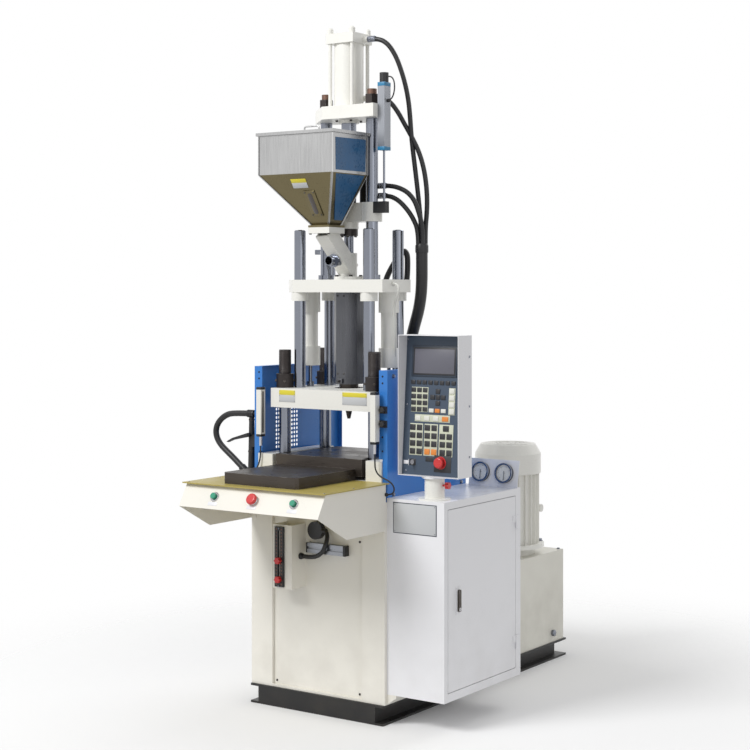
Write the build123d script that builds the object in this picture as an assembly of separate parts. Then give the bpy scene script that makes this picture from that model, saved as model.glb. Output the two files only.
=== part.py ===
"""Vertical injection moulding machine: a column-frame clamp with a sliding lower table,
an in-line screw injection unit on guide posts, a control panel, an electrical cabinet and
an oil tank with its motor. Millimetres, +Z up, origin on the floor under the clamp axis.
+X is the machine's right-hand side as the operator sees it, and -Y faces the operator."""
import math
import os

from build123d import *

# Shared clearances and overruns
cut_over = 2.0              # overrun of every cut past the face it leaves
run_fit = 0.05              # radial clearance of a shaft that turns or slides in its bore
free_gap = 0.4              # clearance of a loose fit, such as a button in its hole
sheet = 2.0                 # folded sheet metal

# Base frame of channel steel, flanges outwards
base_half_x = 300.0
base_front = 212.0
base_rear = 1160.0
base_height = 72.0
flange_thick = 8.0
flange_out = 36.0
web_thick = 8.0
tie_beam_width = 60.0
anchor_inset = 16.0
anchor_y = 150.0
anchor_radius = 9.0

# Tower that carries the clamp
tower_half_x = 302.0
tower_front = 204.0
tower_rear = 345.0
tower_top = 790.0
tower_wall = 8.0
tower_front_wall = 20.0
tower_top_plate = 12.0
window_half_x = 204.0
window_margin = 8.0
ledge_width = 14.0
ledge_thick = 5.0
lug_reach = 38.0
lug_width = 24.0
lug_thick = 10.0
cover_recess = 12.0
cover_thick = 3.0
conduit_cap_radius = 33.0
conduit_cap_depth = 22.0
conduit_cap_x = 0.0
conduit_cap_z = 668.0

# Clamp: tie bars, fixed platen with its cylinder, moving platen
tie_x = 204.0
tie_y = 127.0
tie_radius = 22.5
tie_top = 1320.0
tie_bottom = 400.0
tie_nut_radius = 33.0
tie_nut_height = 52.0
fixed_half_x = 280.0
fixed_half_y = 193.0
fixed_thick = 70.0
cheek_inner_x = 212.0
cheek_height = 73.0
clamp_bore_radius = 90.0
clamp_barrel_radius = 115.0
clamp_barrel_length = 230.0
clamp_head = 30.0
clamp_roof = 10.0
ram_radius = 55.0
ram_piston_thick = 25.0
ram_top_gap = 20.0
crosshead_half_x = 250.0
crosshead_half_y = 165.0
crosshead_top = 500.0
crosshead_thick = 60.0
platen_half_x = 230.0
platen_half_y = 180.0
platen_bottom = 1107.0
platen_thick = 71.0
platen_bore_radius = 54.0
mould_bolt_x = 110.0
mould_bolt_y = 90.0
mould_bolt_radius = 6.0
mould_bolt_depth = 30.0

# Slide bed and sliding lower table
bed_half_x = 165.0
bed_front = 535.0
bed_rear = 165.0
bed_thick = 40.0
bed_corner = 10.0
slide_half_x = 172.0
slide_nose_half_x = 195.0
slide_front = 193.0
slide_nose_length = 35.0
slide_rear = 160.0
slide_thick = 36.0
keeper_drop = 26.0

# Work table and two-hand control box under it
table_half_x = 315.0
table_front = 580.0
table_thick = 4.0
box_half_x = 307.0
box_top_front = 562.0
box_nose_front = 607.0
box_nose_drop = 78.0
box_knee_front = 441.0
box_depth = 166.0
box_rear_flange = 28.0
button_xs = (-160.0, 14.0, 190.0)
button_drop = 38.0
button_radius = 10.6
button_stand = 14.0
button_back = 24.0
button_collar_radius = 14.0
button_collar_thick = 4.0
button_collar_gap = 0.8
mushroom_radius = 20.0
mushroom_thick = 11.0
mushroom_stand = 9.0

# Sensor bracket, slotted rail and star knobs on the front
bracket_left = 145.0
bracket_right = 58.0
bracket_depth = 83.0
bracket_top = 688.0
bracket_bottom = 455.0
rail_width = 40.0
rail_inset = 14.0
rail_thick = 8.0
rail_margin = 7.0
rail_slot_half = 4.4
rail_slot_margin = 14.0
knob_radius = 12.5
knob_lobe_radius = 4.2
knob_thick = 14.0
knob_stud_radius = 4.0
knob_stud_length = 6.0
knob_lobes = 6
rail_knob_zs = (558.0, 489.0)
sensor_left = 36.0
sensor_right = 135.0
sensor_top = 622.0
sensor_height = 36.0
sensor_depth = 25.0

# Side guards of folded sheet and light curtains
guard_height = 468.0
guard_front = 187.0
guard_flange = 21.0
guard_flange_wide = 36.0
guard_flange_rise = 8.0
guard_hole_radius = 5.5
guard_hole_pitch = 16.0
guard_hole_rows = 13
guard_hole_columns = 9
guard_hole_z = 1040.0
guard_hole_y = 8.0
curtain_width = 22.0
curtain_depth = 26.0
curtain_left_inset = 28.5
curtain_right_inset = 25.5
curtain_left_x = tower_half_x - curtain_left_inset
curtain_right_x = tower_half_x - curtain_right_inset
curtain_bottom = 998.0
curtain_top = 1179.0
curtain_stand = 13.0
curtain_plug_radius = 6.0
curtain_plug_length = 36.0
curtain_clip_zs = (1118.0, 1068.0)
curtain_clip_height = 25.0
curtain_clip_width = 38.0

# Electrical cabinet with its door
cabinet_width = 240.0
cabinet_front = 190.0
cabinet_rear = 343.0
cabinet_bottom = 110.0
cabinet_top = 806.0
door_front_margin = 25.0
door_rear_margin = 38.0
door_bottom_margin = 32.0
door_top_margin = 28.0
door_gap = 2.0
door_depth = 18.0
hinge_out = 4.2
hinge_radius = 4.0
hinge_leaf = 3.0
hinge_leaf_width = 22.0
hinge_length = 50.0
hinge_margin = 70.0
lock_y = -100.0
lock_z = 455.0
lock_width = 27.0
lock_height = 94.0
lock_plate = 3.0
lever_width = 15.0
lever_thick = 7.0
lever_pin_radius = 5.0
lever_pin_drop = 16.0
lever_margin = 8.0
plate_margin = 40.0
plate_stand = 20.0
plate_thick = 3.0
contactor_columns = 3
contactor_rows = 4
contactor_width = 70.0
contactor_height = 85.0
contactor_depth = 60.0
contactor_pitch_y = 120.0
contactor_pitch_z = 140.0

# Control panel on its pedestal
pedestal_x = 461.0
pedestal_y = -125.0
pedestal_flange_radius = 57.0
pedestal_flange_thick = 6.0
pedestal_radius = 35.5
pedestal_height = 76.0
spigot_radius = 25.0
spigot_length = 30.0
lock_knob_drop = 24.0
lock_knob_stand = 12.0
panel_width = 251.0
panel_depth = 90.0
panel_height = 496.0
panel_collar_radius = 45.0
panel_collar_height = 7.0
face_thick = 3.0
face_recess_bottom = 22.0
face_recess_top = 58.0
stop_from_right = 89.0
stop_up = 47.0
switch_from_left = 46.0
switch_up = 44.0
stop_stem_radius = 8.0
stop_radius = 19.0
stop_thick = 12.0
stop_stand = 8.0
stop_back = 20.0
switch_radius = 9.0
switch_stand = 6.0
switch_key_length = 22.0
switch_key_height = 20.0
switch_key_thick = 2.5

# Pressure gauges on a leaning plate
gauge_plate_width = 212.0
gauge_plate_height = 100.0
gauge_plate_foot = 18.0
gauge_plate_lean = 10.0     # degrees
gauge_plate_setback = 24.0
gauge_xs = (381.0, 483.0)
gauge_up = 51.0
gauge_radius = 37.0
gauge_body_radius = 30.0
gauge_back = 26.0
gauge_front = 12.0
gauge_well_radius = 32.0
gauge_well_depth = 8.0
needle_pin_radius = 2.0
needle_length = 26.0
needle_tail = 8.0
needle_width = 2.4
needle_thick = 1.2
needle_lift = 3.0

# Oil tank, motor and pump
tank_inset = 5.0
tank_half_x = base_half_x - tank_inset
tank_front = 545.0
tank_rear = 1145.0
tank_top = 449.0
tank_wall = 5.0
motor_x = 150.0
motor_y = 930.0
bell_radius = 110.0
bell_height = 30.0
motor_flange_radius = 150.0
motor_flange_thick = 16.0
stator_radius = 118.0
stator_length = 290.0
stator_bore = 90.0
fin_out = 12.0
fin_thick = 3.0
fin_count = 28
shield_radius = 134.0
shield_thick = 14.0
fan_cover_wall = 3.0
fan_cover_height = 81.0
fan_crown_height = 39.0
fan_cover_top_radius = 114.0
fan_slot_count = 12
fan_slot_inner = 30.0
fan_slot_outer = 95.0
fan_slot_half = 5.0
shaft_radius = 14.0
rotor_gap = 3.0
rotor_margin = 40.0
fan_hub_radius = 26.0
fan_blade_radius = 115.0
fan_blade_count = 8
fan_blade_thick = 4.0
fan_rise = 30.0
fan_height = 34.0
terminal_width = 100.0
terminal_height = 110.0
terminal_out = 60.0
terminal_gland_radius = 16.0
terminal_gland_length = 28.0
terminal_gland_drop = 16.0
terminal_z = 640.0
pump_radius = 58.0
pump_length = 190.0
filler_radius = 24.0
filler_height = 46.0
filler_x = -180.0
filler_y = 1040.0

# Hand lubricator on the left guard
lube_stand = 32.0
lube_x = tower_half_x + lube_stand
lube_outlet_length = 18.0
lube_y = -165.0
lube_bottom = 824.0
lube_top = 1063.0
lube_bottom_radius = 15.0
lube_top_radius = 10.0
lube_arm_z = 975.0
lube_arm_height = 46.0
lube_arm_width = 22.0
lever_z = 997.0
lever_pivot_radius = 3.0
lever_pivot_length = 14.0
lever_hub_radius = 8.0
lever_reach = 104.0
lever_drop = 32.0
lever_blade_shares = ((0.53, 0.27), (0.73, 0.47), (1.0, 0.94), (0.9, 1.0), (0.68, 0.7), (0.35, 0.47))
lever_hub_width = 10.0
lube_port_length = 29.0
lube_port_radius = 9.0
lube_outlet_z = 1076.0

# Injection unit: guide posts, seat plate, seat cylinders
post_x = 158.0
post_y = 95.0
post_radius = 21.5
post_top = 1768.0
post_chamfer = 3.0
seat_half_x = 240.0
seat_half_y = 128.0
seat_corner = 72.0
seat_bottom = 1535.0
seat_thick = 47.0
seat_boss_radius = 32.0
seat_boss_drop = 32.0
seat_cyl_x = 181.0
seat_collar_radius = 38.0
seat_collar_length = 75.0
seat_tube_radius = 29.0
seat_tube_length = 130.0
seat_head_length = 72.0
seat_bore_radius = 24.0
seat_gland = 17.0
seat_roof = 35.0
seat_rod_radius = 7.0
seat_rod_nut_radius = 14.0
seat_rod_nut_height = 18.0
seat_piston_thick = 20.0
seat_piston_top = 1465.0

# Barrel, screw, shield and feed throat
barrel_radius = 36.0
barrel_bottom = 1130.0
nozzle_tip = 1062.0
nozzle_radius = 21.0
nozzle_tip_radius = 6.0
nozzle_orifice_radius = 2.0
screw_radius = 18.0
screw_stroke = 44.0
screw_tip_length = 15.0
screw_core_radius = 12.0
screw_shank = 26.0
shield_half_flat = 52.0
shield_sheet = 1.5
shield_bottom = 1216.0
band_height = 23.0
band_out = 2.0
throat_flange_radius = 56.0
throat_flange_thick = 12.0
throat_radius = 31.0
throat_height = 100.0
chute_half = 29.0
chute_wall = 7.0
chute_foot_rise = 34.0
outlet_x = -14.0
outlet_y = -123.0
outlet_half = 33.0
outlet_z = 1774.0
chute_flange_half = 48.0
chute_flange_thick = 22.0
drain_radius = 18.0
drain_wall = 2.5
drain_length = 62.0
drain_z = 1652.0
drain_ring_radius = 25.0
drain_ring_thick = 6.0
drain_ring_share = 0.45
shutter_z = 1690.0
shutter_thick = 4.0
shutter_half_y = 15.0
shutter_out = 98.0
shutter_in = 14.0
shutter_tab_length = 14.0

# Hopper and lid
hopper_left = 207.0
hopper_right = 129.0
hopper_front = 283.0
hopper_back = 63.0
hopper_break = 1965.0
hopper_top = 2118.0
hopper_sheet = 1.5
hopper_foot = 8.0
lid_over = 7.0
lid_thick = 1.5
lid_skirt = 10.0
lid_gap = 0.6
handle_length = 66.0
handle_height = 22.0
handle_radius = 3.0
handle_bend = 8.0
handle_y = -205.0
handle_x = -20.0

# Injection rods, top plate, injection cylinder, crosshead
rod_x = 125.0
rod_y = -28.0
rod_radius = 22.5
rod_foot_radius = 31.0
rod_foot_height = 18.0
rod_nut_radius = 27.0
rod_nut_height = 40.0
rod_end_radius = 18.0
rod_end_height = 20.0
top_half_x = 175.0
top_half_y = 93.0
top_corner = 118.0
top_bottom = 2178.0
top_thick = 48.0
top_gland_radius = 38.0
top_gland_drop = 11.0
cyl_radius = 55.0
cyl_bore_radius = 40.0
cyl_floor = 10.0
cyl_roof = 8.0
cyl_tube_top = 2463.0
cap_half = 62.0
cap_thick = 37.0
stay_offset = 50.0
stay_radius = 7.0
stay_nut_radius = 12.5
stay_nut_height = 16.0
stay_dome_height = 6.0
inj_ram_radius = 28.0
inj_piston_thick = 26.0
inj_piston_top = 2448.0
yoke_bottom = 1796.0
yoke_thick = 71.0
yoke_arm_half = 30.0
yoke_boss_radius = 38.0
bearing_radius = 36.5
bearing_bottom = 1772.0
bearing_flange_radius = 34.0
bearing_flange_thick = 26.0
gear_x = 62.0
gear_y = 38.0
gear_radius = 42.0
gear_drop = 24.0
drive_radius = 32.0
drive_height = 92.0
port_radius = 11.0

# Linear transducer on the top plate
ruler_y = -44.0
ruler_width = 40.0
ruler_depth = 30.0
ruler_bottom = 2071.0
ruler_top = 2287.0
ruler_cap = 16.0
ruler_plug_radius = 17.0
ruler_plug_length = 36.0
ruler_rod_radius = 4.0
ruler_rod_inside = 130.0
ruler_arm_z = 1826.0
ruler_arm_height = 42.0
ruler_arm_half = 13.0

# Hoses: diameters, and routes as points chosen by hand
hose_radius = 9.0
sleeve_radius = 22.0
lube_hose_radius = 11.5
upper_port_z = 2478.0
lower_port_z = 2262.0
hose_share = 0.45

# Derived levels shared by several pieces
fixed_top = tower_top + fixed_thick
bed_top = fixed_top + bed_thick
slide_top = bed_top + slide_thick
platen_top = platen_bottom + platen_thick
seat_top = seat_bottom + seat_thick
top_top = top_bottom + top_thick
crosshead_bottom = crosshead_top - crosshead_thick
yoke_top = yoke_bottom + yoke_thick
bracket_front = tower_front - cover_recess + bracket_depth
cabinet_left = tower_half_x
cabinet_right = cabinet_left + cabinet_width
pedestal_top = cabinet_top + pedestal_height
panel_bottom = pedestal_top + panel_collar_height
throat_top = seat_top + throat_height
cap_top = cyl_tube_top + cap_thick
four_ties = [(sx * tie_x, sy * tie_y) for sx in (-1, 1) for sy in (-1, 1)]
four_posts = [(sx * post_x, sy * post_y) for sx in (-1, 1) for sy in (-1, 1)]
two_rods = [(rod_x, rod_y), (-rod_x, -rod_y)]
tower_cover_y = -(tower_front - cover_recess)

# Routes of the hoses
hose_upper = [(80, 12, 2478), (124, 12, 2478), (163, 19, 2457), (192, 28, 2412), (211, 37, 2357),
              (225, 45, 2301), (233, 53, 2244), (234, 62, 2184), (232, 72, 2124), (233, 82, 2062),
              (236, 92, 1998), (239, 102, 1930), (241, 113, 1860), (242.5, 123.5, 1786),
              (242.5, 123.5, 1712)]
hose_lower = [(76, 40, 2262), (120, 40, 2262), (157, 47, 2243), (184, 56, 2205), (207, 65, 2160),
              (233, 74, 2112), (257, 84, 2060), (272, 93, 2004), (279, 101, 1944), (279, 109, 1884),
              (272, 117, 1826), (261.5, 123.5, 1774), (261.5, 123.5, 1712)]
hose_drive_high = [(112, 38, 1932), (152, 38, 1932), (194, 44, 1924), (230, 53, 1905), (253, 64, 1874),
                   (262, 76, 1834), (265, 91, 1796), (261.5, 104.5, 1756), (261.5, 104.5, 1712)]
hose_drive_low = [(112, 38, 1895), (152, 38, 1895), (188, 46, 1880), (213, 62, 1851), (231, 82, 1815),
                  (242.5, 104.5, 1766), (242.5, 104.5, 1712)]
sleeve_route = [(252, 114, 1712), (252, 114, 1650), (249, 119, 1588), (240, 128, 1528), (221, 141, 1470),
                (193, 157, 1416), (164, 177, 1364), (144, 200, 1308), (137, 222, 1244), (140, 240, 1174),
                (149, 253, 1102), (161, 261, 1028), (173, 266, 950), (180, 269, 872), (180, 269, 790)]
lube_route = [(-357, -165, 853), (-417, -165, 900), (-453, -166, 926), (-482, -168, 949), (-501, -170, 975),
              (-507, -171, 1004), (-496, -170, 1036), (-464, -167, 1064), (-422, -165, 1076),
              (-320, -165, 1076)]


def span_box(x0, x1, y0, y1, z0, z1):
    """A block between two opposite corners."""
    return Pos((x0 + x1) / 2, (y0 + y1) / 2, (z0 + z1) / 2) * Box(x1 - x0, y1 - y0, z1 - z0)


def upright(x, y, z0, z1, radius):
    """A vertical round bar."""
    return Pos(x, y, (z0 + z1) / 2) * Cylinder(radius, z1 - z0)


def cone_up(x, y, z0, z1, r0, r1):
    """A vertical cone from radius r0 at z0 to r1 at z1."""
    return Pos(x, y, (z0 + z1) / 2) * Cone(r0, r1, z1 - z0)


def bar_along_x(x0, x1, y, z, radius):
    """A round bar along X."""
    return Pos((x0 + x1) / 2, y, z) * Rot(0, 90, 0) * Cylinder(radius, x1 - x0)


def bar_along_y(x, y0, y1, z, radius):
    """A round bar along Y."""
    return Pos(x, (y0 + y1) / 2, z) * Rot(90, 0, 0) * Cylinder(radius, y1 - y0)


def prism_x(points, x0, x1):
    """An outline in Y and Z, run along X."""
    face = Plane.YZ * make_face(Polyline(*points, close=True))
    return Pos(x0, 0, 0) * extrude(face, amount=x1 - x0)


def prism_z(points, z0, z1):
    """An outline in X and Y, run up Z."""
    face = make_face(Polyline(*points, close=True))
    return Pos(0, 0, z0) * extrude(face, amount=z1 - z0)


def on_plane(plane, shape):
    """Places a shape that is made about the origin in a plane's own frame."""
    return plane.location * shape


def cut_corner_plate(half_x, half_y, corner, z0, z1):
    """A plate whose front-left and rear-right corners are cut off."""
    points = [(-half_x + corner, -half_y), (half_x, -half_y), (half_x, half_y - corner),
              (half_x - corner, half_y), (-half_x, half_y), (-half_x, -half_y + corner)]
    return prism_z(points, z0, z1)


def base_frame():
    """Welded ring of channels, its front web flush, with two tie beams and the anchor holes."""
    ring = span_box(-base_half_x, base_half_x, -base_front, base_rear, 0, base_height)
    inset = flange_out + web_thick
    ring -= span_box(-base_half_x + inset, base_half_x - inset, -base_front + web_thick,
                     base_rear - inset, -cut_over, base_height + cut_over)
    groove = span_box(-base_half_x - cut_over, base_half_x + cut_over, -base_front - cut_over,
                      base_rear + cut_over, flange_thick, base_height - flange_thick)
    groove -= span_box(-base_half_x + flange_out, base_half_x - flange_out, -base_front - cut_over,
                       base_rear - flange_out, 0, base_height)
    ring -= groove
    for beam_y in (tower_rear - tie_beam_width, tank_front):
        ring += span_box(-base_half_x + inset, base_half_x - inset, beam_y, beam_y + tie_beam_width,
                         0, base_height)
    anchor_x = base_half_x - anchor_inset
    for sx in (-1, 1):
        for y in (-anchor_y, anchor_y):
            ring -= upright(sx * anchor_x, y, -cut_over, flange_thick + cut_over, anchor_radius)
            ring -= upright(sx * anchor_x, y, base_height - flange_thick - cut_over,
                            base_height + cut_over, anchor_radius)
    return ring


def main_frame():
    """Tower of plate, open at the front for the cover, with the cabinet's carrying lugs."""
    body = span_box(-tower_half_x, tower_half_x, -tower_front, tower_rear, base_height, tower_top)
    inner_x = tower_half_x - tower_wall
    body -= span_box(-inner_x, inner_x, -tower_front + tower_front_wall, tower_rear - tower_wall,
                     base_height + tower_wall, tower_top - tower_top_plate)
    hole_x = tie_x + tie_nut_radius
    hole_y = tie_y + tie_nut_radius
    body -= span_box(-hole_x, hole_x, -hole_y, hole_y, tower_top - tower_top_plate - cut_over,
                     tower_top + cut_over)
    window_low = base_height + window_margin
    window_high = tower_top - window_margin
    body -= span_box(-window_half_x, window_half_x, -tower_front - cut_over,
                     -tower_front + tower_front_wall + cut_over, window_low, window_high)
    ledge_y = tower_cover_y + cover_thick
    for sx in (-1, 1):
        edge = sorted((sx * window_half_x, sx * (window_half_x - ledge_width)))
        body += span_box(edge[0], edge[1], ledge_y, ledge_y + ledge_thick, window_low, window_high)
    for lug_y in (-cabinet_front, cabinet_rear - lug_width):
        body += span_box(tower_half_x, tower_half_x + lug_reach, lug_y, lug_y + lug_width,
                         cabinet_bottom - lug_thick, cabinet_bottom)
        points = [(tower_half_x, cabinet_bottom - lug_thick),
                  (tower_half_x + lug_reach, cabinet_bottom - lug_thick),
                  (tower_half_x, cabinet_bottom - lug_reach)]
        gusset = make_face(Polyline(*points, close=True))
        body += Pos(0, lug_y + lug_thick, 0) * extrude(Plane.XZ * gusset, amount=lug_thick)
    return body


def front_cover():
    """Sheet cover in the tower's window, with the round conduit cap on it."""
    low = base_height + window_margin
    high = tower_top - window_margin
    half = window_half_x - free_gap
    cover = span_box(-half, half, tower_cover_y, tower_cover_y + cover_thick, low, high)
    cover += bar_along_y(conduit_cap_x, tower_cover_y - conduit_cap_depth, tower_cover_y,
                         conduit_cap_z, conduit_cap_radius)
    return cover


def fixed_platen():
    """Lower platen with raised cheeks and the clamp cylinder bolted under it."""
    plate = span_box(-fixed_half_x, fixed_half_x, -fixed_half_y, fixed_half_y, tower_top, fixed_top)
    for sx in (-1, 1):
        edge = sorted((sx * cheek_inner_x, sx * fixed_half_x))
        plate += span_box(edge[0], edge[1], -fixed_half_y, fixed_half_y, fixed_top,
                          fixed_top + cheek_height)
    for x, y in four_ties:
        plate -= upright(x, y, tower_top - cut_over, fixed_top + cheek_height + cut_over,
                         tie_radius + run_fit)
    barrel_low = tower_top - clamp_barrel_length
    plate += upright(0, 0, barrel_low, tower_top, clamp_barrel_radius)
    plate -= upright(0, 0, barrel_low + clamp_head, tower_top - clamp_roof, clamp_bore_radius)
    plate -= upright(0, 0, barrel_low - cut_over, barrel_low + clamp_head + cut_over, ram_radius + run_fit)
    return plate


def slide_bed():
    """Steel bed that the lower table slides on, with cut front corners."""
    points = [(-bed_half_x + bed_corner, -bed_front), (bed_half_x - bed_corner, -bed_front),
              (bed_half_x, -bed_front + bed_corner), (bed_half_x, bed_rear),
              (-bed_half_x, bed_rear), (-bed_half_x, -bed_front + bed_corner)]
    return prism_z(points, fixed_top, bed_top)


def slide_table():
    """Sliding lower mould table with a wide nose that straddles the bed."""
    nose_rear = -slide_front + slide_nose_length
    table = span_box(-slide_half_x, slide_half_x, -slide_front, slide_rear, bed_top, slide_top)
    table += span_box(-slide_nose_half_x, slide_nose_half_x, -slide_front, nose_rear, bed_top, slide_top)
    for sx in (-1, 1):
        edge = sorted((sx * (bed_half_x + free_gap), sx * slide_nose_half_x))
        table += span_box(edge[0], edge[1], -slide_front, nose_rear, bed_top - keeper_drop, bed_top)
    for sx in (-1, 1):
        for sy in (-1, 1):
            table -= upright(sx * mould_bolt_x, sy * mould_bolt_y, slide_top - mould_bolt_depth,
                             slide_top + cut_over, mould_bolt_radius)
    return table


def work_table():
    """Thin table plate in front of the clamp."""
    return span_box(-table_half_x, table_half_x, -table_front, -fixed_half_y, fixed_top - table_thick,
                    fixed_top)


table_under = fixed_top - table_thick
box_nose_z = table_under - box_nose_drop
box_floor_z = table_under - box_depth
box_slope = math.hypot(box_nose_front - box_top_front, box_nose_drop)
box_normal_y = -box_nose_drop / box_slope
box_normal_z = (box_nose_front - box_top_front) / box_slope


def button_plane(x):
    """Frame on the control box's sloping face, with its normal out of the face."""
    share = button_drop / box_nose_drop
    y = -box_top_front - (box_nose_front - box_top_front) * share
    return Plane(origin=(x, y, table_under - button_drop), x_dir=(1, 0, 0),
                 z_dir=(0, box_normal_y, box_normal_z))


def control_box():
    """Folded control box under the table, open below, with three button holes."""
    outline = [(-box_top_front, table_under), (-box_nose_front, box_nose_z), (-box_knee_front, box_floor_z),
               (-tower_front, box_floor_z), (-tower_front, table_under)]
    box = prism_x(outline, -box_half_x, box_half_x)
    wall_y = sheet / -box_normal_y
    slope = (box_nose_front - box_top_front) / box_nose_drop
    low = box_floor_z - cut_over
    low_front = box_top_front + slope * (table_under + cut_over - low) - wall_y
    inner = [(-box_top_front + wall_y + slope * cut_over, table_under + cut_over), (-low_front, low),
             (-tower_front - sheet, low), (-tower_front - sheet, table_under + cut_over)]
    box -= prism_x(inner, -box_half_x + sheet, box_half_x - sheet)
    rear_half = box_half_x - box_rear_flange
    box -= span_box(-rear_half, rear_half, -tower_front - sheet - cut_over, -tower_front + cut_over,
                    box_floor_z - cut_over, table_under + cut_over)
    for x in button_xs:
        box -= on_plane(button_plane(x), Cylinder(button_radius + free_gap, button_back))
    return box


def push_button():
    """Flat push button with its retaining collar, about the face's frame."""
    button = upright(0, 0, -button_back, button_stand, button_radius)
    collar_top = -sheet - button_collar_gap
    button += upright(0, 0, collar_top - button_collar_thick, collar_top, button_collar_radius)
    return chamfer(button.faces().sort_by(Axis.Z)[-1].edges(), free_gap)


def mushroom_button(stem, radius, stand, thick, back, wall):
    """Mushroom-head stop button in a wall of the given thickness, about the face's frame."""
    button = upright(0, 0, -back, stand + thick / 2, stem)
    collar_top = -wall - button_collar_gap
    button += upright(0, 0, collar_top - button_collar_thick, collar_top, stem + button_collar_thick)
    head = upright(0, 0, stand, stand + thick, radius)
    head = fillet(head.faces().sort_by(Axis.Z)[-1].edges(), thick / 2)
    return button + head


def star_knob():
    """Star knob with a short stud, about its own axis, stud along -Z."""
    knob = upright(0, 0, 0, knob_thick, knob_radius - knob_lobe_radius)
    for i in range(knob_lobes):
        angle = math.radians(i * 360 / knob_lobes)
        ring = knob_radius - knob_lobe_radius
        knob += upright(ring * math.cos(angle), ring * math.sin(angle), 0, knob_thick, knob_lobe_radius)
    knob += upright(0, 0, -knob_stud_length, 0, knob_stud_radius)
    return knob


rail_mid = -bracket_left + rail_inset + rail_width / 2


def sensor_bracket():
    """Folded channel bracket that carries the slotted rail."""
    bracket = span_box(-bracket_left, -bracket_right, -bracket_front, tower_cover_y,
                       bracket_bottom, bracket_top)
    bracket -= span_box(-bracket_left + sheet, -bracket_right - sheet, -bracket_front + sheet,
                        tower_cover_y + cut_over, bracket_bottom - cut_over, bracket_top + cut_over)
    return bracket


def sensor_rail():
    """Slotted rail on the bracket's face."""
    low = bracket_bottom + rail_margin
    high = bracket_top - rail_margin
    rail = span_box(rail_mid - rail_width / 2, rail_mid + rail_width / 2, -bracket_front - rail_thick,
                    -bracket_front, low, high)
    rail -= span_box(rail_mid - rail_slot_half, rail_mid + rail_slot_half,
                     -bracket_front - rail_thick - cut_over, -bracket_front + cut_over,
                     low + rail_slot_margin, high - rail_slot_margin)
    return rail


def rail_knob(z):
    """Star knob that clamps a switch on the rail."""
    plane = Plane(origin=(rail_mid, -bracket_front - rail_thick, z), x_dir=(1, 0, 0), z_dir=(0, -1, 0))
    return on_plane(plane, star_knob())


def position_sensor():
    """Aluminium profile of the mould position sensor on the cover."""
    profile = span_box(-sensor_left, sensor_right, tower_cover_y - sensor_depth, tower_cover_y,
                       sensor_top - sensor_height, sensor_top)
    groove = sensor_height / 4
    profile -= span_box(-sensor_left - cut_over, sensor_right + cut_over,
                        tower_cover_y - sensor_depth - cut_over,
                        tower_cover_y - sensor_depth + groove / 2,
                        sensor_top - sensor_height / 2 - groove / 2,
                        sensor_top - sensor_height / 2 + groove / 2)
    return profile


def side_guard(side):
    """Folded side guard with a perforated field; side is -1 left, +1 right."""
    outer = tower_half_x
    x = sorted((side * outer, side * (outer - sheet)))
    flange = sorted((side * outer, side * (outer - guard_flange)))
    high = tower_top + guard_height
    guard = span_box(x[0], x[1], -guard_front, tower_rear, tower_top, high)
    guard += span_box(flange[0], flange[1], -guard_front, -guard_front + sheet, tower_top, high)
    wide = sorted((side * outer, side * (outer - guard_flange_wide)))
    wide_low = fixed_top + cheek_height + guard_flange_rise
    guard += span_box(wide[0], wide[1], -guard_front, -guard_front + sheet, wide_low, high)
    guard += span_box(flange[0], flange[1], tower_rear - sheet, tower_rear, tower_top, high)
    guard += span_box(flange[0], flange[1], -guard_front, tower_rear, high - sheet, high)
    holes = []
    for row in range(guard_hole_rows):
        for column in range(guard_hole_columns):
            y = guard_hole_y + (column - (guard_hole_columns - 1) / 2) * guard_hole_pitch
            z = guard_hole_z + (row - (guard_hole_rows - 1) / 2) * guard_hole_pitch
            holes.append(bar_along_x(x[0] - cut_over, x[1] + cut_over, y, z, guard_hole_radius))
    return guard - holes


def light_curtains():
    """Emitter and receiver bars with their plugs and holding clips."""
    left = span_box(-curtain_left_x, -curtain_left_x + curtain_width, -guard_front - curtain_depth,
                    -guard_front, curtain_bottom, curtain_top)
    right_back = -guard_front - curtain_stand
    right = span_box(curtain_right_x - curtain_width, curtain_right_x, right_back - curtain_depth,
                     right_back, curtain_bottom, curtain_top)
    left_mid = -curtain_left_x + curtain_width / 2
    right_mid = curtain_right_x - curtain_width / 2
    left += upright(left_mid, -guard_front - curtain_depth / 2, curtain_bottom - curtain_plug_length,
                    curtain_bottom, curtain_plug_radius)
    right += upright(right_mid, right_back - curtain_depth / 2, curtain_bottom - curtain_plug_length,
                     curtain_bottom, curtain_plug_radius)
    for z in curtain_clip_zs:
        right += span_box(tower_half_x - curtain_clip_width, tower_half_x, right_back, -guard_front,
                          z - curtain_clip_height / 2, z + curtain_clip_height / 2)
    return Compound(children=[left, right])


door_y0 = -cabinet_front + door_front_margin
door_y1 = cabinet_rear - door_rear_margin
door_z0 = cabinet_bottom + door_bottom_margin
door_z1 = cabinet_top - door_top_margin
hinge_y = door_y1 + door_gap / 2
hinge_zs = (door_z0 + hinge_margin, door_z1 - hinge_margin - hinge_length)


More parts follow.
